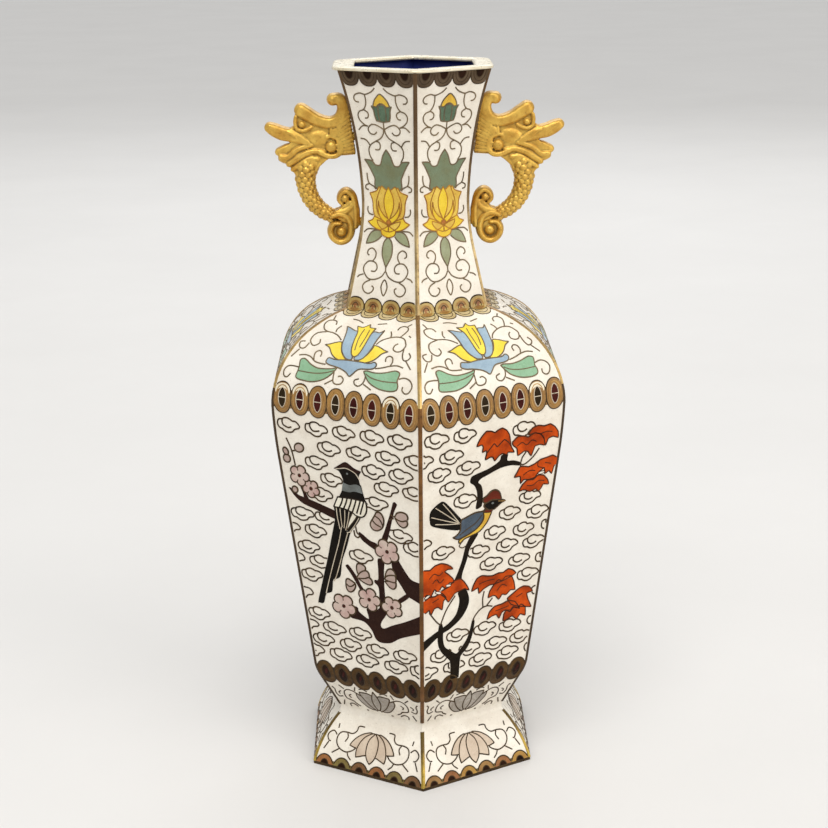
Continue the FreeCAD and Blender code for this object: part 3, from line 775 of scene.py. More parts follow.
def neck_lotus():
    """A bud, scrolls and a yellow lotus, alike on both halves of the side."""
    d = Drawing("mouth", "collar")
    for points in (
        [(1.7, 5.6), (3.2, 7), (5.7, 8), (7.7, 7.6), (9.7, 8.25), (10.35, 9.5), (9.7, 10.6),
         (8.55, 10.8)],
        [(5.95, 8.2), (5.8, 10.2), (6.2, 12), (7.2, 13.4), (8.7, 14), (9.55, 15.2), (9.2, 17),
         (7.7, 18.5), (6.2, 19.2)],
        [(7.2, 13.4), (5.8, 14.2), (5.45, 15.2), (5.95, 16.2), (6.95, 16.4)],
        [(0.2, 20), (2.2, 18.9), (4.2, 18.4), (5.7, 19.2), (6.2, 20.5), (5.4, 21.7),
         (3.95, 21.9), (2.95, 21)],
        [(6.2, 19.2), (8.2, 19.1), (9.95, 20.6)],
        [(0.2, 20), (0.45, 21.5), (1.7, 23.2), (3.7, 24.3), (5.7, 25.5), (6.7, 27.2),
         (6.45, 29.5), (5.4, 31.2)],
        [(3.7, 24.3), (2.45, 24.7), (2.1, 26), (2.7, 27.2), (4.2, 27.2)],
        [(6.2, 25.7), (6.95, 24.6), (7.95, 23.8), (9.6, 23.6)],
        [(4.5, 41.8), (5.7, 40.2), (7.45, 39.2), (8.1, 37.5), (8.2, 35.6)],
        [(7.45, 39.2), (8.95, 40), (8.8, 41.1), (7.8, 41.4)],
        [(6.2, 50), (7.7, 49.7), (8.45, 48.5), (8.3, 47.2)],
        [(3.2, 55), (5.7, 54.9), (8.2, 55), (9.7, 56.2)],
        [(0.2, 69.2), (1.45, 71), (4.2, 72.2), (6.7, 72), (8.45, 70), (8.7, 68), (7.2, 66.2),
         (5.45, 66), (3.95, 66.7), (3.45, 68.2), (4.2, 69.4), (5.7, 69.4)],
        [(5.45, 66), (4.45, 64.5), (4.45, 62.7), (5.95, 61.5), (7.45, 62.2), (7.7, 63.5),
         (6.95, 64)],
        [(8.6, 70.7), (10.2, 71.2), (10.95, 72)],
        [(5.7, 72.5), (7.7, 73.5), (8.55, 75), (7.7, 76.7), (5.95, 77.2), (4.45, 76.2),
         (4.2, 75), (4.95, 74.5)],
    ):
        d.both(points)
    d.wire([(0, 17.2), (0, 20)])
    d.wire([(0, 67.7), (0, 69.2)])
    d.wire(whole([(0, 72), (1.2, 74.5), (0, 77.5)]), closed=True)
    # bud
    d.cell("teal", whole([
        (0, 11.4), (1.6, 11.8), (3.9, 12), (3.9, 12), (3.2, 13.4), (3.0, 15.4), (2.5, 17.1),
        (2.5, 17.1), (0, 17.5)]), 1)
    d.cell("amber", whole([
        (0, 7.7), (1.5, 8.8), (2.6, 10.3), (3.2, 12), (3.2, 12), (2, 12.2), (1, 11.3),
        (0, 11)]), 2)
    for sign in (-1, 1):
        d.wire([(1.3 * sign, 12.2), (1.5 * sign, 14.5), (1.2 * sign, 17.2)], 1,
               width=FINE_WIDTH)
    # crown leaf
    d.cell("sage", whole([
        (0, 27.1), (0, 27.1), (1.45, 29.2), (2.45, 32), (3.2, 32.7), (4.7, 32.5),
        (5.95, 31.2), (8.7, 30.9), (8.7, 30.9), (7.45, 32.7), (6.2, 35), (5.2, 37.2),
        (4.45, 40.8)]), 1)
    # lotus, from the back petals to the front ones
    outer = [(3.4, 40.2), (4.8, 41.6), (7.45, 42.5), (7.45, 42.5), (6.45, 45), (6.2, 48),
             (5.7, 50), (4.2, 51.4), (2.5, 51.6), (3, 46)]
    side = [(0.4, 42.5), (1.6, 40.6), (2.7, 39.8), (2.7, 39.8), (4.2, 43), (4.95, 46),
            (4.45, 49), (2.8, 51), (0.4, 51.8)]
    inner = [(0.2, 51.2), (2, 49.8), (3.6, 47.6), (4.1, 45), (4.1, 45), (4.3, 48), (3.4, 50.6),
             (1.6, 52.2), (0.2, 52.6)]
    lower = [(0.2, 54.2), (1.4, 52.6), (3.2, 51.4), (5.7, 50.4), (5.7, 50.4), (6.4, 51.6),
             (8.2, 52.4), (8.2, 52.4), (6.2, 54), (3.8, 54.9), (0.8, 55)]
    tongue = [(0.1, 55.4), (0.3, 53.4), (2.6, 52.2), (4.6, 51.6), (4.6, 51.6), (4.2, 53),
              (2.6, 54.6)]
    gold = {"kind": "petal_wires", "width": FINE_WIDTH}
    for flip in (list, mirror):
        d.cell("moss", flip([(2.0, 55.7), (4.7, 55.2), (6.7, 56), (7.95, 58), (8.55, 60),
                             (8.55, 60), (6.2, 59.5), (4.2, 58.5), (2.6, 57)]), 1)
        d.cell("honey", flip(outer), 2, **gold)
        d.cell("honey", flip(side), 3, **gold)
        d.cell("lemon", flip(inner), 4, **gold)
        d.cell("lemon", flip(lower), 5, **gold)
        d.cell("honey", flip(tongue), 6, **gold)
    d.cell("lemon", whole([(0, 40), (0, 40), (1.3, 42.4), (1.9, 45), (1.5, 48), (0, 51.6),
                           (0, 51.6)]), 5, **gold)
    d.cell("lemon", whole([(0, 53.2), (0, 53.2), (1.3, 54.2), (2.8, 55), (2.3, 56.6),
                           (0, 57.4)]), 6, **gold)
    d.cell("russet_gold", oval(0, 52.2, 0.9, 0.75, count=14), 7, **gold)
    d.cell("moss", whole([(0, 57.2), (0, 57.2), (1.5, 59), (1.95, 61.5), (1.7, 64), (0, 67.7),
                          (0, 67.7)]), 1)
    return d


def shoulder_lotus():
    """A lotus with yellow and blue petals between two long leaves."""
    d = Drawing("apron", "belt_top", down=SHOULDER_DOWN)
    for points in (
        [(-7.4, 20), (-9.6, 18.2), (-11.9, 17.3), (-14.2, 17), (-16, 16.1), (-17.1, 14.1),
         (-16.7, 12), (-15.1, 11.3), (-13.3, 11.7), (-12.7, 13.4)],
        [(-14.9, 11.3), (-15.3, 8.6)], [(-11, 16.8), (-11.2, 15.5), (-10.3, 13.6)],
        [(-14.2, 17.1), (-17.4, 18), (-18.7, 19.5), (-19, 21.6), (-17.8, 23.2), (-16.5, 23.4),
         (-15.1, 22.3), (-15.4, 20.7)],
        [(-19, 22.7), (-20.1, 24.8), (-21.7, 25), (-22.6, 23.9), (-22.4, 22.5), (-20.8, 22.2)],
        [(-21.9, 25.5), (-24.2, 28.6)],
        [(-9.9, 29.8), (-12.8, 29.6), (-14.6, 29.1), (-16.5, 27.8), (-18.7, 27.3),
         (-21.2, 27.7)],
        [(-14.9, 28.9), (-15.3, 27.3), (-15.1, 25.9), (-13.7, 25.1), (-12.7, 25.9),
         (-12.8, 27.3)],
        [(-20.1, 32), (-21.9, 31.8), (-24.2, 32), (-25.6, 33.6), (-25.3, 35.5), (-24, 35.9),
         (-22.8, 34.5)],
        [(-5.8, 30.9), (-5.8, 33.6), (-5.5, 35.5), (-4.2, 36.1), (-2.4, 35.7), (-1.7, 34.3),
         (-2.8, 33.2), (-4, 33.4)],
        [(-5.8, 34.8), (-8.7, 36.6)],
        [(6.5, 20), (7.6, 18.2), (9.9, 16.6), (12.6, 15.7), (15.4, 16.1), (17, 18),
         (17.5, 19.5), (16.7, 21.4), (15.1, 21.9), (13.5, 21.1), (13.5, 19.5), (14.4, 18.6)],
        [(13.8, 15.7), (14.7, 13.6), (15, 11.8), (14.2, 10.5), (12.6, 10.2), (11.5, 11.1),
         (11.3, 12.5)],
        [(14, 10), (14.9, 8.6)], [(10.4, 16.4), (10.1, 15), (9.2, 13.5)],
        [(17.4, 20.5), (17.9, 23.2), (19, 24.8), (20.4, 24.5), (21, 23.2), (19.9, 21.8)],
        [(19.9, 25), (22.6, 27.8)],
        [(9.5, 29), (12.2, 28.3), (14.5, 27.5), (17.2, 27), (19.7, 27.5)],
        [(14.7, 27.3), (15.1, 25.9), (14.5, 24.3), (13.1, 23.9), (12.2, 24.8), (12.5, 26.1)],
        [(19.2, 31.5), (21.3, 30.9), (23.5, 31.6), (24.7, 33.4), (24, 35.5), (22.6, 36.1),
         (21.3, 35.2), (21.3, 33.9)],
        [(6, 30.9), (6.5, 32.7), (6, 34.5), (4.5, 35.7), (2.9, 35.2), (2.6, 33.9),
         (4.2, 33.2)],
        [(6.3, 34.8), (9.5, 36.4)],
        [(-7.8, 9.5), (-5.5, 9.8), (-3, 11)], [(2.6, 10.7), (5.8, 9.8)],
        [(16.7, 14.5), (17.7, 15.2)],
    ):
        d.wire(points)
    # leaves with a midrib
    d.cell("mint", [
        (-19.9, 29.1), (-18.7, 28.7), (-17.4, 29.3), (-15.5, 30.5), (-12.8, 31.4),
        (-10.1, 31.4), (-6.9, 31), (-5.1, 30.4), (-5.1, 30.4), (-6.2, 32.3), (-8.3, 34.3),
        (-11, 35.7), (-14.2, 36.4), (-17.4, 36.3), (-19.9, 35.9), (-20.5, 35), (-20.1, 33.4),
        (-19.9, 31.8), (-20.1, 30)], 1)
    d.wire([(-19.9, 33.2), (-14, 33.4), (-9.5, 32.8), (-6, 31.6)], 1, width=FINE_WIDTH)
    d.cell("mint", [
        (19, 29.5), (17.6, 28.9), (16.3, 29.1), (13.5, 30), (9.9, 30.5), (6.7, 30.2),
        (5.4, 30.5), (5.4, 30.5), (6.7, 32.3), (8.5, 34.1), (11.7, 35.5), (14.9, 36),
        (17.6, 35.9), (19.2, 35.2), (19.4, 33.9), (18.8, 32.3), (19, 30.9)], 1)
    d.wire([(18.8, 32.8), (13.5, 33), (9, 32.4), (6.4, 31.2)], 1, width=FINE_WIDTH)
    # flower, from the back petals to the front one
    d.cell("butter", [
        (-12.6, 22.6), (-12.6, 22.6), (-11, 22.2), (-9.2, 21.4), (-6.9, 20.8), (-6.2, 22.3),
        (-5.1, 24.8), (-2.8, 27.3), (-4.2, 27.8), (-6.5, 27.3), (-8.7, 25.9), (-10.5, 23.6)], 2)
    d.cell("butter", [
        (12, 22.3), (12, 22.3), (10.4, 21.9), (8.6, 21.1), (6.3, 20.6), (5.8, 22.1),
        (4.7, 24.6), (2.4, 27.1), (3.8, 27.6), (6.1, 27.1), (8.3, 25.7), (10.1, 23.4)], 2)
    d.cell("sky", [
        (-9.9, 28.2), (-9.2, 27.3), (-6.5, 27.7), (-2.8, 27.4), (2.6, 27.4), (6.7, 27.5),
        (8.5, 26.8), (9.5, 27.7), (9, 28.9), (7.2, 29.5), (4, 29.8), (2.6, 30.5),
        (1.5, 31.8), (0.3, 32.8), (-1, 31.8), (-2.8, 30.9), (-5.5, 30.2), (-8.3, 29.8),
        (-9.9, 29.1)], 3)
    d.cell("sky", [
        (-8, 13.6), (-8, 13.6), (-6.5, 14.1), (-4.2, 15.2), (-2.6, 15.7), (-1.8, 20),
        (-1.2, 24), (-0.5, 26.8), (-2.8, 26.8), (-5.1, 24.5), (-6.2, 21.8), (-6.5, 19.1),
        (-7.1, 15.9)], 3)
    d.cell("sky", [
        (6.7, 13.4), (6.7, 13.4), (5.4, 14.8), (3.1, 14.8), (2.4, 18), (1.9, 22), (0.3, 26.4),
        (2.2, 26.8), (4, 25.5), (5.4, 22.3), (5.8, 19.1), (6.3, 15.9)], 3)
    d.cell("butter", [
        (-4.2, 12.9), (-4.2, 12.9), (-1.9, 13.2), (0.1, 11.4), (0.1, 11.4), (0.8, 12.9),
        (3, 13), (3, 13), (2.6, 15.9), (2.5, 19.5), (2.1, 22.7), (1.3, 25), (0.1, 25.8),
        (-1.2, 25), (-2, 22.7), (-2.4, 19.5), (-2.8, 15.9)], 4)
    d.wire([(-0.9, 14), (-1.1, 18), (-0.5, 23.4)], 4, width=FINE_WIDTH)
    d.wire([(1.2, 14.2), (1.3, 18), (0.8, 22)], 4, width=FINE_WIDTH)
    return d


def underside_lotus():
    """A grey lotus under the body, mostly in shade."""
    d = Drawing("girdle_low", "waist_top", down=FOOT_DOWN)
    for points in (
        [(7.3, 15.8), (9.4, 14.6), (11.5, 14.6), (13, 16), (13.4, 17.9), (12.8, 19.8),
         (10.3, 20.6), (9.4, 21.7), (7.8, 22.8)],
        [(12.8, 14.6), (14.6, 12.9)], [(8.2, 14.4), (7.5, 12.1)],
        [(18, 14.6), (17.1, 15.8), (17.1, 17.9), (16.1, 19.6), (14.4, 19)],
        [(14.4, 21.3), (15.3, 24)], [(10.4, 17), (11.4, 17.8), (10.8, 19)],
        [(9, 23.4), (10.8, 22.2), (12.3, 22.8), (12, 24.4)], [(3.5, 24.6), (5.6, 24.2)],
        [(14.6, 16.2), (15.7, 17.2), (15.3, 18)], [(2.6, 13.2), (4.4, 12.4), (6, 12.9)],
    ):
        d.both(points)
    for flip in (list, mirror):
        d.cell("pewter", flip([
            (1.5, 22.9), (4, 22.7), (6.1, 20.8), (7.8, 17.9), (7.9, 15.4), (7.9, 15.4),
            (5.5, 17), (3, 20)]), 1)
        d.cell("pewter", flip([
            (0.6, 22.9), (1.3, 15.1), (5.5, 14.4), (6.3, 14.8), (5.7, 16.7), (4.8, 18.7),
            (3.2, 21.2), (1.5, 22.8)]), 2)
    d.cell("pewter", whole([
        (0, 12.5), (0, 12.5), (1.1, 15.2), (1.6, 17.8), (1.3, 20.6), (0, 22.9)]), 3)
    return d


def foot_lotus():
    """A pale lotus hanging on the foot."""
    d = Drawing("waist_low", "foot_top", down=FOOT_DOWN)
    for points in (
        [(-5.2, 31.3), (-7.5, 31.5), (-7.9, 33.3), (-9.3, 34.6), (-11.8, 34.6), (-13.9, 35),
         (-15, 36.5), (-15, 38.8), (-13.5, 40.8), (-10.6, 41.7), (-8.1, 40.8), (-6.8, 39.6)],
        [(-11.4, 34.8), (-10.8, 36.3), (-11.6, 38.1)],
        [(-15.6, 36.3), (-17, 35.1), (-18.5, 35.8), (-19.2, 37.3), (-18.3, 39), (-17.5, 39)],
        [(-18.3, 39.4), (-19.8, 42.3)], [(-13.3, 41), (-16.2, 43.1)],
        [(-9.8, 41.7), (-9.3, 42.9), (-7.9, 44.2)], [(-15.7, 32.1), (-15.6, 33.8)],
    ):
        d.both(points)
    for flip in (list, mirror):
        d.cell("blush", flip([
            (1.5, 33), (4.4, 33.6), (6.9, 35.4), (8.6, 37.5), (9.3, 38.9), (9.3, 38.9),
            (6, 39.3), (4, 37)]), 1)
        d.cell("blush", flip([
            (0.4, 33), (3.2, 34.2), (5.2, 36.8), (6.2, 40), (6, 42.6), (6, 42.6), (3.4, 41.6),
            (1.4, 40.6), (0.8, 37)]), 2)
    d.cell("blush", whole([
        (0, 32.8), (0, 32.8), (1.9, 35.5), (2.3, 39), (1.6, 42), (0, 44), (0, 44)]), 3)
    return d


# ------------------------------------------------------------------ bands

def lobe_outline(u, half, top, bottom, power=2.4, count=36):
    """A full, rounded oval."""
    ring = []
    for a in angles(count):
        x, y = rounded_square(a, power)
        ring.append((u + x * half, (top + bottom) / 2 + y * (bottom - top) / 2))
    return np.array(ring)


def pointed_oval(u, s, half_u, half_s):
    """A seed shape, blunt at both ends."""
    outline = whole([(0, -1), (0.75, -0.62), (1, 0), (0.75, 0.62), (0, 1)])
    return [(u + x * half_u, s + y * half_s) for x, y in outline]


def centres(count, pitch):
    """Where the middles of a row fall, on both sides of the middle line."""
    return [(i - (count - 1) / 2) * pitch for i in range(count)]


def mouth_fret():
    """A row of dark arches that hang from the rim."""
    d = Drawing("rim", 6.0, width=0.4)
    for u in centres(4, 7.1):
        d.cell("dusk", lobe_outline(u, 3.5, -3.4, 5.0), 1)
        d.wire(lobe_outline(u, 2.5, -3.2, 3.9, 2.0, 26), 1, closed=True, width=0.3)
        d.cell("ink", lobe_outline(u, 1.6, -3.0, 2.6, 2.0, 24), 2, width=0.36)
    return d


def collar_fret():
    """A row of pale lobes, with a golden one and a brown core in each."""
    d = Drawing(76.0, 90.0, width=0.36)
    for u in centres(4, 7.1):
        d.cell("straw", lobe_outline(u, 3.6, 78.7, 87.8), 1)
        d.cell("brass_gold", lobe_outline(u, 3.4, 78.9, 84.8, 2.2), 2)
        d.cell("ochre", lobe_outline(u, 2.2, 79.9, 84.4, 2.0, 28), 3, width=0.3,
               kind="gilt_wires")
        d.wire(lobe_outline(u, 2.4, 82.0, 86.6, 2.0, 26), 1, closed=True, width=0.3)
        core = whole([(0, 80.7), (1.0, 81.5), (1.1, 82.5), (0.6, 83.4), (0, 83.9)])
        d.cell("rust", [(u + x, s) for x, s in core], 4, width=0.36)
    return d


def belt_fret(pale):
    """A row of ovals; the ones with these numbers have white crescents at the top."""
    d = Drawing(115.0, 131.0, width=0.46)
    for i, u in enumerate(centres(8, 7.15)):
        d.cell("ochre", lobe_outline(u, 3.62, 117.5, 128.5, 2.2), 1)
        if i in pale:
            d.cell("cream", lobe_outline(u, 3.0, 118.0, 123.0, 2.0, 28), 2, rim=False)
            d.cell("ochre", lobe_outline(u, 3.1, 119.7, 126.6, 2.0, 28), 3, rim=False)
        d.wire(lobe_outline(u, 2.6, 118.7, 127.3, 2.1, 30), 3, closed=True, width=0.36,
               kind="gilt_wires")
        d.cell("garnet" if i % 3 else "olive", pointed_oval(u, 123, 1.5, 3.5), 4,
               width=0.32, kind="pale_wires")
        d.wire([(u - 1.4, 123), (u + 1.4, 123)], 5, width=0.36, kind="pale_wires")
    return d


def girdle_fret():
    """A row of brown lobes with a dark seed in each."""
    d = Drawing(224.0, 237.0, width=0.56)
    for u in centres(6, 7.25):
        d.cell("umber", lobe_outline(u, 3.66, 225.5, 235.9, 2.2), 1)
        d.cell("ink", pointed_oval(u, 230.4, 1.7, 3.4), 2, width=0.5)
        # A small garnet slash to one side of each dark seed: a painted highlight.
        d.cell("garnet", oval(u + 0.2, 230.0, 0.5, 1.5, 20, 14), 3, rim=False)
    return d


def foot_fret(tones):
    """A row of arches, in these glazes by turns."""
    d = Drawing(266.5, "foot_low")
    for i, u in enumerate(centres(6, 7.45)):
        d.cell(tones[i % len(tones)], lobe_outline(u, 3.65, 267.9, 276.5, 2.0), 1)
        d.cell("ink", lobe_outline(u, 1.6, 269.7, 274.0, 2.0, 24), 2, width=FINE_WIDTH)
    return d


# ------------------------------------------------------------------ lip

# Half its width outside and inside, how sharp its corners are, and its points round the mouth.
LIP_OUTER = 26.5
LIP_INNER = 20.5
LIP_POWER = 22
LIP_COUNT = 240
LIP_BULGE_RIGHT = 0.5
LIP_BULGE_LEFT = 1.5


def place_lip(material):
    """The rolled brass lip: its corners are rounded, and the sides over the handles are drawn
    out a little, the left one more."""
    normals = [math.radians(60 * k) for k in range(6)]
    reach = [LIP_OUTER] * 6
    reach[0], reach[3] = LIP_OUTER + LIP_BULGE_RIGHT, LIP_OUTER + LIP_BULGE_LEFT
    rings = []
    for a in angles(LIP_COUNT):
        outer = sum(max(0.0, math.cos(a - n) / r) ** LIP_POWER
                    for n, r in zip(normals, reach)) ** (-1 / LIP_POWER)
        inner = LIP_INNER / max(math.cos(a - n) for n in normals)
        sag = 0.12 * math.sin(2 * a + 0.7)
        for out, z in ((outer - 0.9, 252.82), (outer - 0.15, 252.95), (outer, 253.3),
                       (outer - 0.12, 253.68), (outer - 0.5, 253.91), (outer - 1.2, 254.0),
                       (inner + 1.0 + sag, 253.97), (inner + sag, 253.7), (inner, 252.82)):
            rings.append((out * math.cos(a) * MM, out * math.sin(a) * MM, z * MM))
    builder = Builder()
    builder.add(rings, skin(LIP_COUNT, len(rings) // LIP_COUNT, closed=True))
    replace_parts(builder.build("lip", material, "rim_brass", smooth=True), "mouth_rim")


# ------------------------------------------------------------------ dragons

DRAGON_VOXEL = 0.27 * MM
TUBE_STEP = 0.5
RING_POINTS = 18
BALL_POINTS = 12
SCALE_PATH_STEP = 0.25
SCALE_ROW = 1.7
SCALES_AROUND = 10


def spine_points(knots, step):
    """A curve through (x, z, radius) knots: its (x, z) points and the radius at each."""
    flat = smooth([(x, z) for x, z, r in knots], False, step)
    marks = [0.0]
    for here, there in zip(knots, knots[1:]):
        parts = max(1, math.ceil(math.hypot(there[0] - here[0], there[1] - here[1]) / step))
        marks.append(marks[-1] + parts)
    return flat, np.interp(np.arange(len(flat)), marks, [r for x, z, r in knots])


def add_tube(builder, knots, depth, middle=0.0, full=2.4):
    """A closed tube in the plane of the handle, through (x, z, radius) knots. It reaches depth
    to the front and the back of its middle, or is round where depth is None. The larger full
    is, the squarer its section."""
    flat, radii = spine_points(knots, TUBE_STEP)
    count = len(flat)
    ahead = np.concatenate([flat[1:], flat[-1:]])
    behind = np.concatenate([flat[:1], flat[:-1]])
    way = ahead - behind
    way /= np.hypot(way[:, 0], way[:, 1])[:, None]
    ends = []
    for index, sign in ((0, -1.0), (count - 1, 1.0)):
        caps = []
        for share in (0.45, 0.8, 0.97):
            left = math.sqrt(1 - share * share)
            caps.append((flat[index] + sign * way[index] * (share * radii[index]), way[index],
                         radii[index] * left, left))
        ends.append(caps)
    rings = [*reversed(ends[0])] + [
        (flat[i], way[i], radii[i], 1.0) for i in range(count)] + ends[1]
    points = []
    for centre, along, radius, share in rings:
        tall = radius if depth is None else depth * (0.35 + 0.65 * share)
        for a in angles(RING_POINTS):
            x, y = rounded_square(a, full)
            x, y = x * radius, y * tall
            points.append(((centre[0] - along[1] * x) * MM, (middle + y) * MM,
                           (centre[1] + along[0] * x) * MM))
    builder.add(points, skin(len(rings), RING_POINTS))


def add_ball(builder, centre, sizes, tilt=0.0, rings=9):
    """A closed ellipsoid at (x, y, z), turned in the plane of the handle."""
    c, n = math.cos(tilt), math.sin(tilt)
    points = []
    for i in range(1, rings):
        b = math.pi * i / rings
        for a in angles(BALL_POINTS):
            x = sizes[0] * math.sin(b) * math.cos(a)
            y = sizes[1] * math.cos(b)
            z = sizes[2] * math.sin(b) * math.sin(a)
            points.append(((centre[0] + x * c - z * n) * MM, (centre[1] + y) * MM,
                           (centre[2] + x * n + z * c) * MM))
    faces = []
    for i in range(rings - 2):
        here, there = i * BALL_POINTS, (i + 1) * BALL_POINTS
        for k in range(BALL_POINTS):
            m = (k + 1) % BALL_POINTS
            faces.append((here + k, here + m, there + m, there + k))
    faces.append(tuple(reversed(range(BALL_POINTS))))
    faces.append(tuple((rings - 2) * BALL_POINTS + k for k in range(BALL_POINTS)))
    builder.add(points, faces)


def add_plate(builder, outline, depth):
    """A closed plate with this outline in the plane of the handle."""
    points, tops, under, walls = fill(outline, [], 1)
    builder.add([(x * MM, y * MM, z * MM) for y in (-depth, depth) for x, z in points],
                tops + under + sorted(walls))


def add_scales(builder, spine, first, last):
    """Rows of overlapping scales all round a tube with this (x, z, radius) spine, bare for
    these lengths at its ends."""
    centre, radii = spine_points(spine, SCALE_PATH_STEP)
    lengths = np.concatenate([[0], np.cumsum(np.hypot(*np.diff(centre, axis=0).T))])
    row, at = 0, first
    while at < lengths[-1] - last:
        x, z = (float(np.interp(at, lengths, centre[:, i])) for i in (0, 1))
        radius = float(np.interp(at, lengths, radii))
        index = min(int(np.searchsorted(lengths, at)), len(centre) - 2)
        way = centre[index + 1] - centre[index]
        way = way / np.hypot(*way)
        tilt = math.atan2(way[1], way[0])
        for k in range(SCALES_AROUND):
            a = 2 * math.pi * (k + 0.5 * (row % 2)) / SCALES_AROUND
            across, y = radius * 0.88 * math.cos(a), radius * 0.94 * math.sin(a)
            size = radius * 0.17 * abs(math.sin(a))
            add_ball(builder, (x - way[1] * across, y, z + way[0] * across),
                     (1.0, 0.78, 0.48 + size), tilt, 7)
        row += 1
        at += SCALE_ROW


def sculpt_dragon():
    """Collects the shapes of the dragon on the +X side and melts them into one casting."""
    b = Builder()
    # the plates behind the relief
    add_plate(b, [
        (20.5, 222.9), (21.6, 229), (22.8, 236), (25, 239), (26.5, 235), (31, 232.8),
        (36, 235.2), (40.4, 237.5), (41.4, 233), (46, 230.4), (48, 229.2), (42, 227.2),
        (39, 226.4), (44, 222.6), (44, 219.8), (42, 216.5), (35, 216.2), (33.6, 218.4),
        (30.8, 220.9), (28.2, 222.4)], 2.9)
    add_plate(b, [
        (20.3, 206.5), (19.5, 203), (19.5, 198), (21.6, 197), (24, 199), (27.5, 200.5),
        (29, 202), (26, 204.5), (23, 206.8)], 3.2)
    add_ball(b, (33.4, 0, 228.8), (6.6, 3.75, 4.3), -0.15, 14)
    # horn and brow, one thick bar that ends in a ball
    add_tube(b, [(28.1, 241.7, 2.0), (26.0, 241.9, 1.9), (24.7, 239.9, 2.1),
                 (24.8, 237.4, 2.15), (26.2, 235.0, 2.1), (28.8, 233.9, 2.0),
                 (31.6, 234.2, 2.0), (34.4, 235.3, 2.1), (37.0, 236.9, 2.25),
                 (39.2, 238.2, 2.4)], 4.0, full=4.0)
    add_ball(b, (28.1, 0, 241.7), (2.25, 4.3, 2.25), 0, 14)
    # eye, lids and the ridge in front of the eye
    for side in (-1, 1):
        y = 3.1 * side
        add_ball(b, (38.9, y, 233.6), (1.25, 1.1, 1.1))
        add_tube(b, [(35.6, 232.6, 0.4), (37.2, 231.7, 0.55), (39.2, 231.4, 0.6),
                     (40.9, 232.3, 0.55), (41.3, 234.4, 0.6), (41.0, 236.2, 0.6)], None, y)
        # ear, with its rim and spur
        y = 3.2 * side
        add_ball(b, (28.9, y, 225.7), (1.95, 1.25, 1.95), 0, 12)
        add_tube(b, [(30.6, 228.9, 0.5), (28.8, 229.4, 0.65), (26.6, 228.4, 0.75),
                     (25.4, 226.2, 0.8), (25.8, 223.8, 0.85), (27.6, 222.5, 0.9),
                     (30.2, 222.6, 0.9), (33.0, 223.8, 0.8)], None, y * 0.98)
        add_tube(b, [(28.8, 231.8, 0.45), (29.0, 229.4, 0.5)], None, y)
        add_ball(b, (27.4, y * 0.9, 230.4), (1.9, 1.0, 2.4), 0.3, 10)
        # hair of the mane
        for i in range(11):
            z = 237.6 - 1.36 * i
            left = 20.9 + (z - 223.0) * 0.13
            drop = 4.6 - 0.43 * i
            add_tube(b, [(left, z, 0.5), (left + 2.4, z - drop * 0.45, 0.62),
                         (26.6, z - drop, 0.5)], None, 3.25 * side)
        # corners and creases of the mouth
        add_tube(b, [(35.8, 226.4, 0.7), (38.2, 225.8, 0.75), (41.2, 224.6, 0.85),
                     (44.0, 222.4, 0.95), (46.6, 222.4, 0.9)], None, 2.9 * side)
        add_tube(b, [(31.6, 223.9, 0.8), (35.0, 224.2, 0.9), (38.2, 223.3, 1.0),
                     (41.2, 221.5, 1.05), (43.8, 219.8, 1.0)], None, 2.9 * side)
        add_tube(b, [(33.5, 221.5, 0.6), (37.0, 221.5, 0.7), (40.2, 219.6, 0.75),
                     (42.6, 217.9, 0.7)], None, 2.9 * side)
        # creases and nostril of the nose
        add_ball(b, (50.0, 2.6 * side, 231.3), (0.9, 0.8, 0.65), 0.5)
        add_tube(b, [(44.6, 231.6, 0.35), (46.6, 230.6, 0.4), (48.4, 231.9, 0.4),
                     (50.0, 233.2, 0.4)], None, 3.3 * side)
        add_tube(b, [(41.0, 229.0, 0.35), (42.4, 230.4, 0.4), (43.6, 230.9, 0.35)], None,
                 3.5 * side)
    # nose, tongue and jaw
    add_tube(b, [(36.6, 226.9, 0.8), (39.2, 228.2, 1.7), (42.2, 229.5, 2.3),
                 (46.0, 230.3, 2.35), (48.6, 231.5, 2.2), (50.3, 232.4, 1.75)], 3.6, full=4.5)
    add_tube(b, [(41.4, 226.2, 1.0), (44.6, 225.2, 1.35), (47.3, 223.9, 1.35)], 2.9, full=4)
    add_plate(b, [(38.5, 227.6), (42.6, 227.4), (44.4, 226.2), (47.2, 224.4), (47.2, 222.4),
                  (44, 221), (40, 222)], 2.9)
    add_tube(b, [(37.0, 224.0, 1.6), (40.6, 222.8, 1.8), (44.0, 221.3, 1.8),
                 (46.4, 221.6, 1.2)], 3.3)
    # scaled body
    spine = [(36.0, 220.8, 3.9), (37.8, 217.8, 4.1), (38.3, 214.8, 3.75), (38.0, 211.6, 3.4),
             (37.0, 208.4, 3.15), (35.2, 205.4, 2.95), (32.6, 203.0, 2.7),
             (29.6, 201.3, 2.4), (27.4, 200.6, 2.0)]
    add_tube(b, [(x, z, r * 0.94) for x, z, r in spine], None)
    add_scales(b, spine, 1.8, 1.2)
    # lower scroll
    add_tube(b, [(29.2, 201.4, 1.2), (26.2, 202.0, 1.25), (23.7, 200.6, 1.3),
                 (22.6, 197.8, 1.35), (22.9, 194.8, 1.4), (24.6, 192.7, 1.42),
                 (27.0, 192.3, 1.42), (29.2, 193.9, 1.35), (29.9, 196.4, 1.25),
                 (28.6, 198.6, 1.1), (26.4, 198.8, 0.9)], 4.1)
    add_plate(b, [(23.6, 194.4), (23.4, 198.6), (26, 200.2), (29, 198.4), (29.2, 195),
                  (26.8, 192.9)], 2.5)
    for side in (-1, 1):
        add_ball(b, (26.1, 2.5 * side, 195.9), (1.7, 1.5, 1.7), 0, 12)
        add_ball(b, (24.5, 2.5 * side, 207.5), (1.35, 1.4, 1.35), 0, 12)
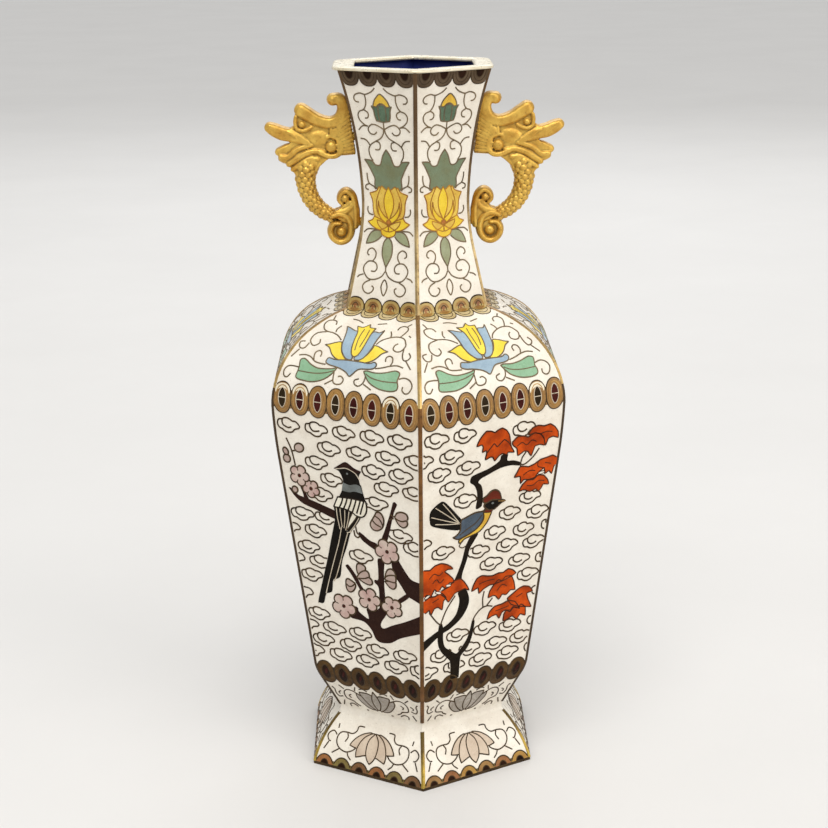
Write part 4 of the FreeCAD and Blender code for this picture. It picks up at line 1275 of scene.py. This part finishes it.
        # leaf between the scrolls
        add_tube(b, [(21.6, 206.8, 0.6), (22.6, 204.6, 0.9), (24.9, 203.0, 1.1),
                     (27.6, 202.6, 1.0)], None, 2.7 * side)
    # upper scroll and the stem behind it
    add_tube(b, [(21.0, 197.6, 1.1), (20.8, 201.2, 1.1), (21.0, 205.0, 1.15),
                 (21.9, 208.3, 1.2), (24.0, 210.0, 1.2), (26.0, 209.0, 1.1),
                 (26.6, 207.0, 1.0), (25.6, 205.6, 0.8)], 3.7)
    add_plate(b, [(21.8, 206.0), (22.6, 208.6), (25.2, 209.2), (26, 206.4), (24, 204.6)], 2.2)
    block = link("dragon_rough", b.mesh("dragon_rough"))
    melt = block.modifiers.new("melt", "REMESH")
    melt.mode = "VOXEL"
    melt.voxel_size = DRAGON_VOXEL
    polish = block.modifiers.new("polish", "SMOOTH")
    polish.factor = 0.5
    polish.iterations = 3
    graph = bpy.context.evaluated_depsgraph_get()
    cast = bpy.data.meshes.new_from_object(block.evaluated_get(graph))
    bpy.data.objects.remove(block)
    return cast


def place_dragons(material):
    """The casting on the +X side and its mirror image on the other."""
    right = sculpt_dragon()
    left = right.copy()
    left.transform(Matrix.Diagonal((-1.0, 1.0, 1.0, 1.0)))
    left.flip_normals()
    for name, mesh in (("right", right), ("left", left)):
        mesh.name = "dragon_" + name
        piece = make_piece(mesh.name, mesh, material, smooth=True)
        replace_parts(piece, "dragon_handle_" + name)


# ------------------------------------------------------------------ materials

def rgb(red, green, blue):
    """A colour given as it looks on a screen, as the linear colour that the shaders take."""
    def linear(value):
        value /= 255.0
        return value / 12.92 if value <= 0.04045 else ((value + 0.055) / 1.055) ** 2.4
    return (linear(red), linear(green), linear(blue), 1.0)


class Shader:
    """A small helper that adds and links the nodes of one material."""

    def __init__(self, name):
        self.material = bpy.data.materials.new(name)
        self.material.use_nodes = True
        self.tree = self.material.node_tree
        self.bsdf = self.tree.nodes["Principled BSDF"]
        self.place = self.tree.nodes.new("ShaderNodeTexCoord").outputs["Object"]

    def add(self, kind, **sockets):
        """A node whose sockets hold these values, or are linked to these outputs. An underscore
        in a socket's name stands for a space."""
        node = self.tree.nodes.new(kind)
        for name, value in sockets.items():
            socket = node.inputs[name.replace("_", " ")]
            if isinstance(value, (int, float)):
                socket.default_value = value
            else:
                self.tree.links.new(value, socket)
        return node

    def noise(self, scale, detail=3.0, rough=0.55):
        """Soft noise through the solid, around 0.5."""
        return self.add("ShaderNodeTexNoise", Scale=scale, Detail=detail, Roughness=rough,
                        Vector=self.place).outputs["Fac"]

    def pits(self, scale, size):
        """Small round specks, 1 in the middle of a speck and 0 outside."""
        cells = self.add("ShaderNodeTexVoronoi", Scale=scale, Vector=self.place)
        return self.remap(cells.outputs["Distance"], size * 0.5, size, 1.0, 0.0)

    def remap(self, value, low, high, to_low, to_high):
        """Stretches the range from low to high over another one, and stops at its ends."""
        return self.add("ShaderNodeMapRange", Value=value, From_Min=low, From_Max=high,
                        To_Min=to_low, To_Max=to_high).outputs["Result"]

    def blend(self, factor, first, second):
        """The first colour where the factor is 0, the second where it is 1."""
        node = self.tree.nodes.new("ShaderNodeMix")
        node.data_type = "RGBA"
        self.tree.links.new(factor, node.inputs["Factor"])
        sockets = [s for s in node.inputs if s.type == "RGBA"]
        for socket, colour in zip(sockets, (first, second)):
            if isinstance(colour, tuple):
                socket.default_value = colour
            else:
                self.tree.links.new(colour, socket)
        return next(s for s in node.outputs if s.type == "RGBA")

    def bump(self, height, strength, distance, before=None):
        """Small dents, on top of those of another bump."""
        below = {} if before is None else {"Normal": before}
        return self.add("ShaderNodeBump", Strength=strength, Distance=distance, Height=height,
                        **below).outputs["Normal"]

    def finish(self, colour, roughness, normal, metallic=0.0, specular=0.5):
        links = self.tree.links
        links.new(colour, self.bsdf.inputs["Base Color"])
        links.new(roughness, self.bsdf.inputs["Roughness"])
        links.new(normal, self.bsdf.inputs["Normal"])
        self.bsdf.inputs["Metallic"].default_value = metallic
        self.bsdf.inputs["Specular IOR Level"].default_value = specular
        return self.material


def enamel(name, main, shade, speck, dark):
    """Fired and polished enamel: a slight cloudiness, pin holes and a soft, uneven gloss."""
    m = Shader(name)
    cloud = m.remap(m.noise(150, 4), 0.38, 0.64, 0.0, 1.0)
    colour = m.blend(cloud, main, shade)
    dust = m.remap(m.noise(900, 5, 0.7), 0.52, 0.8, 0.0, 0.28)
    colour = m.blend(dust, colour, speck)
    holes = m.pits(620, 0.1)
    colour = m.blend(holes, colour, speck)
    rough = m.remap(m.noise(420, 3), 0.3, 0.75, 0.19, 0.4)
    wave = m.bump(m.noise(210, 2), 0.10, 0.0004)
    normal = m.bump(holes, 0.25, -0.0001, wave)
    return m.finish(colour, rough, normal, 0.0, 0.05 if dark else 0.4)


def metal(name, bright, dull, dark, roughness=0.36, metallic=0.85, specular=0.5, dirt=0.8,
          fade=None):
    """Old brass: bright where it is rubbed, brown in between, with dark specks. It can fade
    into another tone between two places along an axis, in metres."""
    m = Shader(name)
    wear = m.remap(m.noise(130, 5, 0.65), 0.35, 0.65, 0.0, 1.0)
    colour = m.blend(wear, dull, bright)
    if fade:
        split = m.add("ShaderNodeSeparateXYZ", Vector=m.place)
        axis, first, last, tone = fade
        colour = m.blend(m.remap(split.outputs[axis], first, last, 0.0, 0.9), colour, tone)
    spots = m.remap(m.noise(700, 4, 0.7), 0.56, 0.72, 0.0, dirt)
    colour = m.blend(spots, colour, dark)
    rough = m.remap(m.noise(500, 4), 0.3, 0.7, roughness - 0.1, roughness + 0.16)
    grain = m.bump(m.noise(1600, 3), 0.15, 0.0001)
    normal = m.bump(m.noise(240, 3), 0.12, 0.0003, grain)
    return m.finish(colour, rough, normal, metallic, specular)


def casting(name, bright, main, dark, recess_shade):
    """Gilt casting: bright on the ridges as a painted highlight, brown in the recesses as
    painted shade.
    """
    m = Shader(name)
    tone = m.remap(m.noise(160, 5, 0.65), 0.36, 0.66, 0.0, 1.0)
    colour = m.blend(tone, main, bright)
    specks = m.remap(m.noise(900, 4, 0.7), 0.55, 0.75, 0.0, 0.6)
    colour = m.blend(specks, colour, dark)
    shape = m.add("ShaderNodeNewGeometry").outputs["Pointiness"]
    # Painted shade: where the surface is hollow, the colour darkens towards the recess tone.
    colour = m.blend(m.remap(shape, 0.445, 0.499, 1.0, 0.0), colour, recess_shade)
    # Painted highlight: where the surface is sharply convex, the colour lightens towards the
    # bright tone.
    colour = m.blend(m.remap(shape, 0.52, 0.60, 0.0, 0.55), colour, bright)
    rough = m.remap(m.noise(500, 4), 0.3, 0.7, 0.3, 0.52)
    grain = m.bump(m.noise(1500, 3), 0.2, 0.0001)
    normal = m.bump(m.noise(300, 3), 0.15, 0.0003, grain)
    return m.finish(colour, rough, normal, 0.6)


GLAZES = {
    "white": (rgb(236, 229, 215), rgb(226, 217, 202), rgb(188, 176, 156)),
    "cream": (rgb(236, 228, 205), rgb(220, 208, 180), rgb(170, 150, 110)),
    "pearl": (rgb(236, 230, 212), rgb(224, 216, 196), rgb(170, 160, 140)),
    "black": (rgb(18, 15, 12), rgb(24, 20, 15), rgb(44, 38, 30)),
    "ash": (rgb(110, 116, 114), rgb(88, 92, 88), rgb(60, 60, 56)),
    "bark": (rgb(40, 22, 17), rgb(48, 28, 21), rgb(70, 48, 36)),
    "soot": (rgb(24, 18, 12), rgb(32, 24, 16), rgb(54, 42, 28)),
    "blossom": (rgb(202, 182, 168), rgb(184, 149, 141), rgb(140, 118, 108)),
    "bud": (rgb(184, 165, 152), rgb(168, 142, 131), rgb(120, 102, 92)),
    "wine": (rgb(84, 30, 34), rgb(60, 24, 26), rgb(34, 16, 16)),
    "maple": (rgb(204, 80, 20), rgb(150, 54, 14), rgb(110, 40, 12)),
    "russet": (rgb(116, 46, 30), rgb(88, 36, 24), rgb(58, 26, 18)),
    "russet_gold": (rgb(196, 128, 44), rgb(168, 100, 34), rgb(120, 72, 26)),
    "slate": (rgb(74, 90, 106), rgb(58, 72, 86), rgb(40, 50, 58)),
    "amber": (rgb(226, 188, 58), rgb(204, 156, 42), rgb(134, 94, 28)),
    "lemon": (rgb(230, 198, 48), rgb(218, 180, 36), rgb(170, 130, 36)),
    "honey": (rgb(224, 192, 84), rgb(206, 166, 60), rgb(150, 110, 40)),
    "sage": (rgb(112, 126, 98), rgb(110, 114, 80), rgb(78, 84, 58)),
    "teal": (rgb(84, 108, 84), rgb(70, 90, 66), rgb(48, 60, 46)),
    "moss": (rgb(150, 156, 122), rgb(136, 138, 102), rgb(100, 100, 74)),
    "mint": (rgb(142, 182, 148), rgb(130, 168, 132), rgb(94, 124, 98)),
    "butter": (rgb(240, 216, 82), rgb(232, 202, 62), rgb(184, 154, 54)),
    "sky": (rgb(158, 180, 194), rgb(142, 164, 180), rgb(110, 130, 144)),
    "pewter": (rgb(168, 160, 150), rgb(152, 144, 134), rgb(116, 108, 98)),
    "blush": (rgb(206, 188, 166), rgb(192, 172, 150), rgb(150, 132, 112)),
    "dusk": (rgb(98, 82, 64), rgb(78, 64, 50), rgb(44, 36, 28)),
    "ink": (rgb(44, 24, 12), rgb(30, 17, 9), rgb(18, 12, 8)),
    "ochre": (rgb(158, 118, 62), rgb(128, 92, 46), rgb(84, 58, 30)),
    "brass_gold": (rgb(186, 160, 96), rgb(160, 134, 76), rgb(110, 88, 50)),
    "straw": (rgb(202, 184, 140), rgb(184, 162, 114), rgb(130, 106, 68)),
    "umber": (rgb(92, 68, 39), rgb(72, 52, 30), rgb(38, 28, 17)),
    "garnet": (rgb(70, 28, 24), rgb(50, 20, 16), rgb(28, 14, 12)),
    "olive": (rgb(50, 38, 22), rgb(38, 30, 17), rgb(24, 18, 12)),
    "olive_gold": (rgb(122, 106, 52), rgb(104, 86, 40), rgb(64, 52, 26)),
    "umber_gold": (rgb(126, 86, 48), rgb(102, 70, 38), rgb(60, 42, 24)),
    "straw_gold": (rgb(182, 142, 62), rgb(158, 116, 48), rgb(98, 70, 32)),
    "rust": (rgb(150, 98, 50), rgb(126, 76, 36), rgb(80, 48, 24)),
    "counter": (rgb(48, 60, 130), rgb(38, 48, 108), rgb(24, 31, 76)),
}
DARK_GLAZES = {"black", "bark", "soot", "wine", "ink", "garnet", "olive", "russet", "umber",
               "dusk", "maple", "counter"}

glazes = {name: enamel("enamel_" + name, *tones, dark=name in DARK_GLAZES)
          for name, tones in GLAZES.items()}
WIRE_METALS = {
    "wires": metal("wire_bronze", rgb(78, 60, 36), rgb(50, 38, 23), rgb(26, 19, 12), 0.5,
                   metallic=0.0, specular=0.15),
    "dark_wires": metal("wire_black", rgb(44, 34, 23), rgb(30, 23, 15), rgb(20, 15, 10), 0.5,
                        metallic=0.0, specular=0.1),
    "scroll_wires": metal("wire_worn", rgb(124, 106, 78), rgb(90, 77, 57), rgb(48, 40, 30),
                          0.46, metallic=0.1, specular=0.25),
    "leaf_wires": metal("wire_copper", rgb(88, 44, 18), rgb(54, 26, 11), rgb(28, 16, 9),
                        0.5, metallic=0.0, specular=0.12),
    "petal_wires": metal("wire_brass", rgb(184, 130, 44), rgb(144, 94, 32), rgb(90, 58, 24),
                         0.42, metallic=0.3, specular=0.3),
    "gilt_wires": metal("wire_gold", rgb(200, 158, 88), rgb(150, 108, 56), rgb(84, 60, 34),
                        0.38, metallic=0.5, specular=0.3),
    "pale_wires": metal("wire_silver", rgb(214, 202, 180), rgb(184, 168, 144),
                        rgb(120, 104, 84), 0.4, metallic=0.1, specular=0.3),
}
neck_strip = metal("strip_neck", rgb(206, 182, 132), rgb(150, 124, 84), rgb(90, 70, 46), 0.38,
                   fade=("Z", 0.196, 0.222, rgb(84, 62, 44)))
# Along Y every strip but the front one fades into a greyer, darker tone: painted shade on the
# strips turned away from the front.
strip_with_painted_shade = metal("strip_bronze_painted_shade", rgb(128, 86, 42), rgb(84, 57, 30), rgb(40, 28, 17), 0.42,
                   metallic=0.5, specular=0.3, fade=("Y", -0.0345, -0.031, rgb(66, 54, 40)))
gold_strip = metal("strip_gold", rgb(214, 186, 122), rgb(168, 134, 82), rgb(96, 72, 44), 0.34,
                   fade=("Z", 0.160, 0.172, rgb(150, 118, 84)))
foot_strip = metal("strip_foot", rgb(206, 176, 84), rgb(160, 132, 56), rgb(84, 64, 30), 0.34,
                   fade=("Z", 0.006, 0.013, rgb(96, 78, 48)))
lip_metal = metal("lip_brass", rgb(232, 224, 202), rgb(212, 200, 170), rgb(160, 142, 106), 0.3,
                  metallic=0.35, dirt=0.12)
copper = metal("copper", rgb(186, 122, 86), rgb(140, 84, 58), rgb(84, 50, 38), 0.4)
# The last tone is the painted shade of the recesses, and the bright tone also gives the painted
# highlight on the ridges.
gilt = casting("gilt", rgb(228, 188, 88), rgb(194, 146, 58), rgb(134, 88, 38),
               rgb(54, 33, 16))


# ------------------------------------------------------------------ assembly

def dress(names, material):
    """Gives CAD nodes their finish."""
    for name in names:
        mesh = nodes[name].data
        mesh.materials.clear()
        mesh.materials.append(material)


def ending(tail):
    """Names of the CAD nodes that end so."""
    return [name for name in nodes if name.endswith(tail)]


dress(ending("_shell") + ["base_plate"], copper)
dress(ending("_lining") + ["base_enamel", "floor_enamel"], glazes["counter"])
dress(["neck_enamel", "shoulder_enamel", "body_enamel", "underbody_enamel", "waist_enamel",
       "foot_enamel"], glazes["white"])
dress(["mouth_band"], glazes["dusk"])
dress(["collar_band", "belt_band"], glazes["ochre"])
dress(["girdle_band"], glazes["umber"])
dress(["foot_band"], glazes["olive_gold"])
dress(["neck_strips"], neck_strip)
dress(["body_strips", "underbody_strips"], strip_with_painted_shade)
dress(["foot_rim"], WIRE_METALS["wires"])
dress(["shoulder_strips"], gold_strip)
dress(["foot_strips"], foot_strip)
dress([name for name in nodes if "peg" in name or "handle" in name], gilt)

# One builder for each glaze and each kind of wire in a section; the body's plain wires are split
# by side.
store = {}
plum_and_magpie().lay("body", LEFT_SIDES, store, split=True)
maple_and_warbler().lay("body", RIGHT_SIDES, store, split=True)
neck_lotus().lay("neck", ALL_SIDES, store)
shoulder_lotus().lay("shoulder", ALL_SIDES, store)
underside_lotus().lay("underbody", ALL_SIDES, store)
foot_lotus().lay("foot", ALL_SIDES, store)
mouth_fret().lay("mouth_fret", ALL_SIDES, store)
collar_fret().lay("collar_fret", ALL_SIDES, store)
belt_fret((0, 1, 6)).lay("belt_fret", LEFT_SIDES, store)
belt_fret((6,)).lay("belt_fret", RIGHT_SIDES, store)
girdle_fret().lay("girdle_fret", ALL_SIDES, store)
foot_fret(("rust", "olive_gold", "umber_gold")).lay("foot_fret", LEFT_SIDES, store)
foot_fret(("ochre", "rust", "straw_gold")).lay("foot_fret", RIGHT_SIDES, store)

for (section, part), builder in store.items():
    name = f"{section}_{part}"
    if part in glazes:
        builder.build(name, glazes[part], "fret_enamel")
        continue
    kind = part if part in WIRE_METALS else "wires"
    if kind == "wires" and section in ("neck", "shoulder"):
        kind = "scroll_wires"
    builder.build(name, WIRE_METALS[kind], "aged_brass")

place_lip(lip_metal)
place_dragons(gilt)


# ------------------------------------------------------------------ stage

def area_light(name, place, target, size, power, colour):
    """A rectangular soft light at a place, turned to its target."""
    lamp = bpy.data.lights.new(name, "AREA")
    lamp.shape = "RECTANGLE"
    lamp.size, lamp.size_y = size
    lamp.energy = power
    lamp.color = colour
    stand = link(name, lamp)
    stand.location = place
    way = Vector(target) - Vector(place)
    stand.rotation_euler = way.to_track_quat("-Z", "Y").to_euler()


def build_stage():
    """A pale floor, large soft lights and a light grey world."""
    reach = 14.0
    mesh = bpy.data.meshes.new("floor")
    mesh.from_pydata([(-reach, -reach, 0), (reach, -reach, 0), (reach, reach, 0),
                      (-reach, reach, 0)], [], [(0, 1, 2, 3)])
    paper = Shader("floor_paper")
    tone = paper.blend(paper.noise(6, 3), rgb(222, 220, 217), rgb(214, 212, 209))
    paper.finish(tone, paper.remap(paper.noise(40), 0.3, 0.7, 0.75, 0.9),
                 paper.bump(paper.noise(400, 4), 0.1, 0.0005))
    mesh.materials.append(paper.material)
    link("floor", mesh)
    area_light("key", (-0.2, -0.8, 1.75), (0, 0, 0.12), (1.1, 1.0), 14, (1.0, 0.98, 0.95))
    area_light("fill", (1.3, -1.1, 0.7), (0, 0, 0.12), (1.0, 1.0), 7, (1.0, 0.94, 0.86))
    area_light("back", (0.2, 1.4, 1.1), (0, 0, 0.15), (1.2, 0.8), 6, (0.95, 0.97, 1.0))
    sky = bpy.data.lights.new("sky", "SUN")
    sky.energy = 0.85
    sky.angle = math.radians(60)
    link("sky", sky).rotation_euler = (math.radians(32), math.radians(10), 0)
    world = bpy.data.worlds.new("studio")
    world.use_nodes = True
    world.node_tree.nodes["Background"].inputs["Color"].default_value = (0.93, 0.94, 0.95, 1)
    world.node_tree.nodes["Background"].inputs["Strength"].default_value = 0.62
    bpy.context.scene.world = world
    bpy.context.scene.view_settings.view_transform = "Standard"


def build_camera():
    """The camera, a little above the vase and turned by less than a degree. Its focal length is
    given in widths of the picture."""
    distance, dip, turn, roll = 0.6388, 0.286553, -0.01228, -0.0113164
    focal_widths = 2.118599
    target = Vector((-0.001263, 0.0, 0.12786))
    right = Vector((1, 0, 0))
    up = Vector((0, math.sin(dip), math.cos(dip)))
    back = Vector((0, -math.cos(dip), math.sin(dip)))
    pose = Matrix((right, up, back)).transposed().to_4x4()
    pose = Matrix.Translation(target + distance * back) @ pose @ Matrix.Rotation(roll, 4, "Z")
    data = bpy.data.cameras.new("camera")
    data.sensor_width = 36.0
    data.lens = focal_widths * data.sensor_width
    data.clip_start = 0.01
    data.clip_end = 60.0
    camera = link("camera", data)
    camera.matrix_world = Matrix.Rotation(turn, 4, "Z") @ pose
    bpy.context.scene.camera = camera


build_stage()
build_camera()
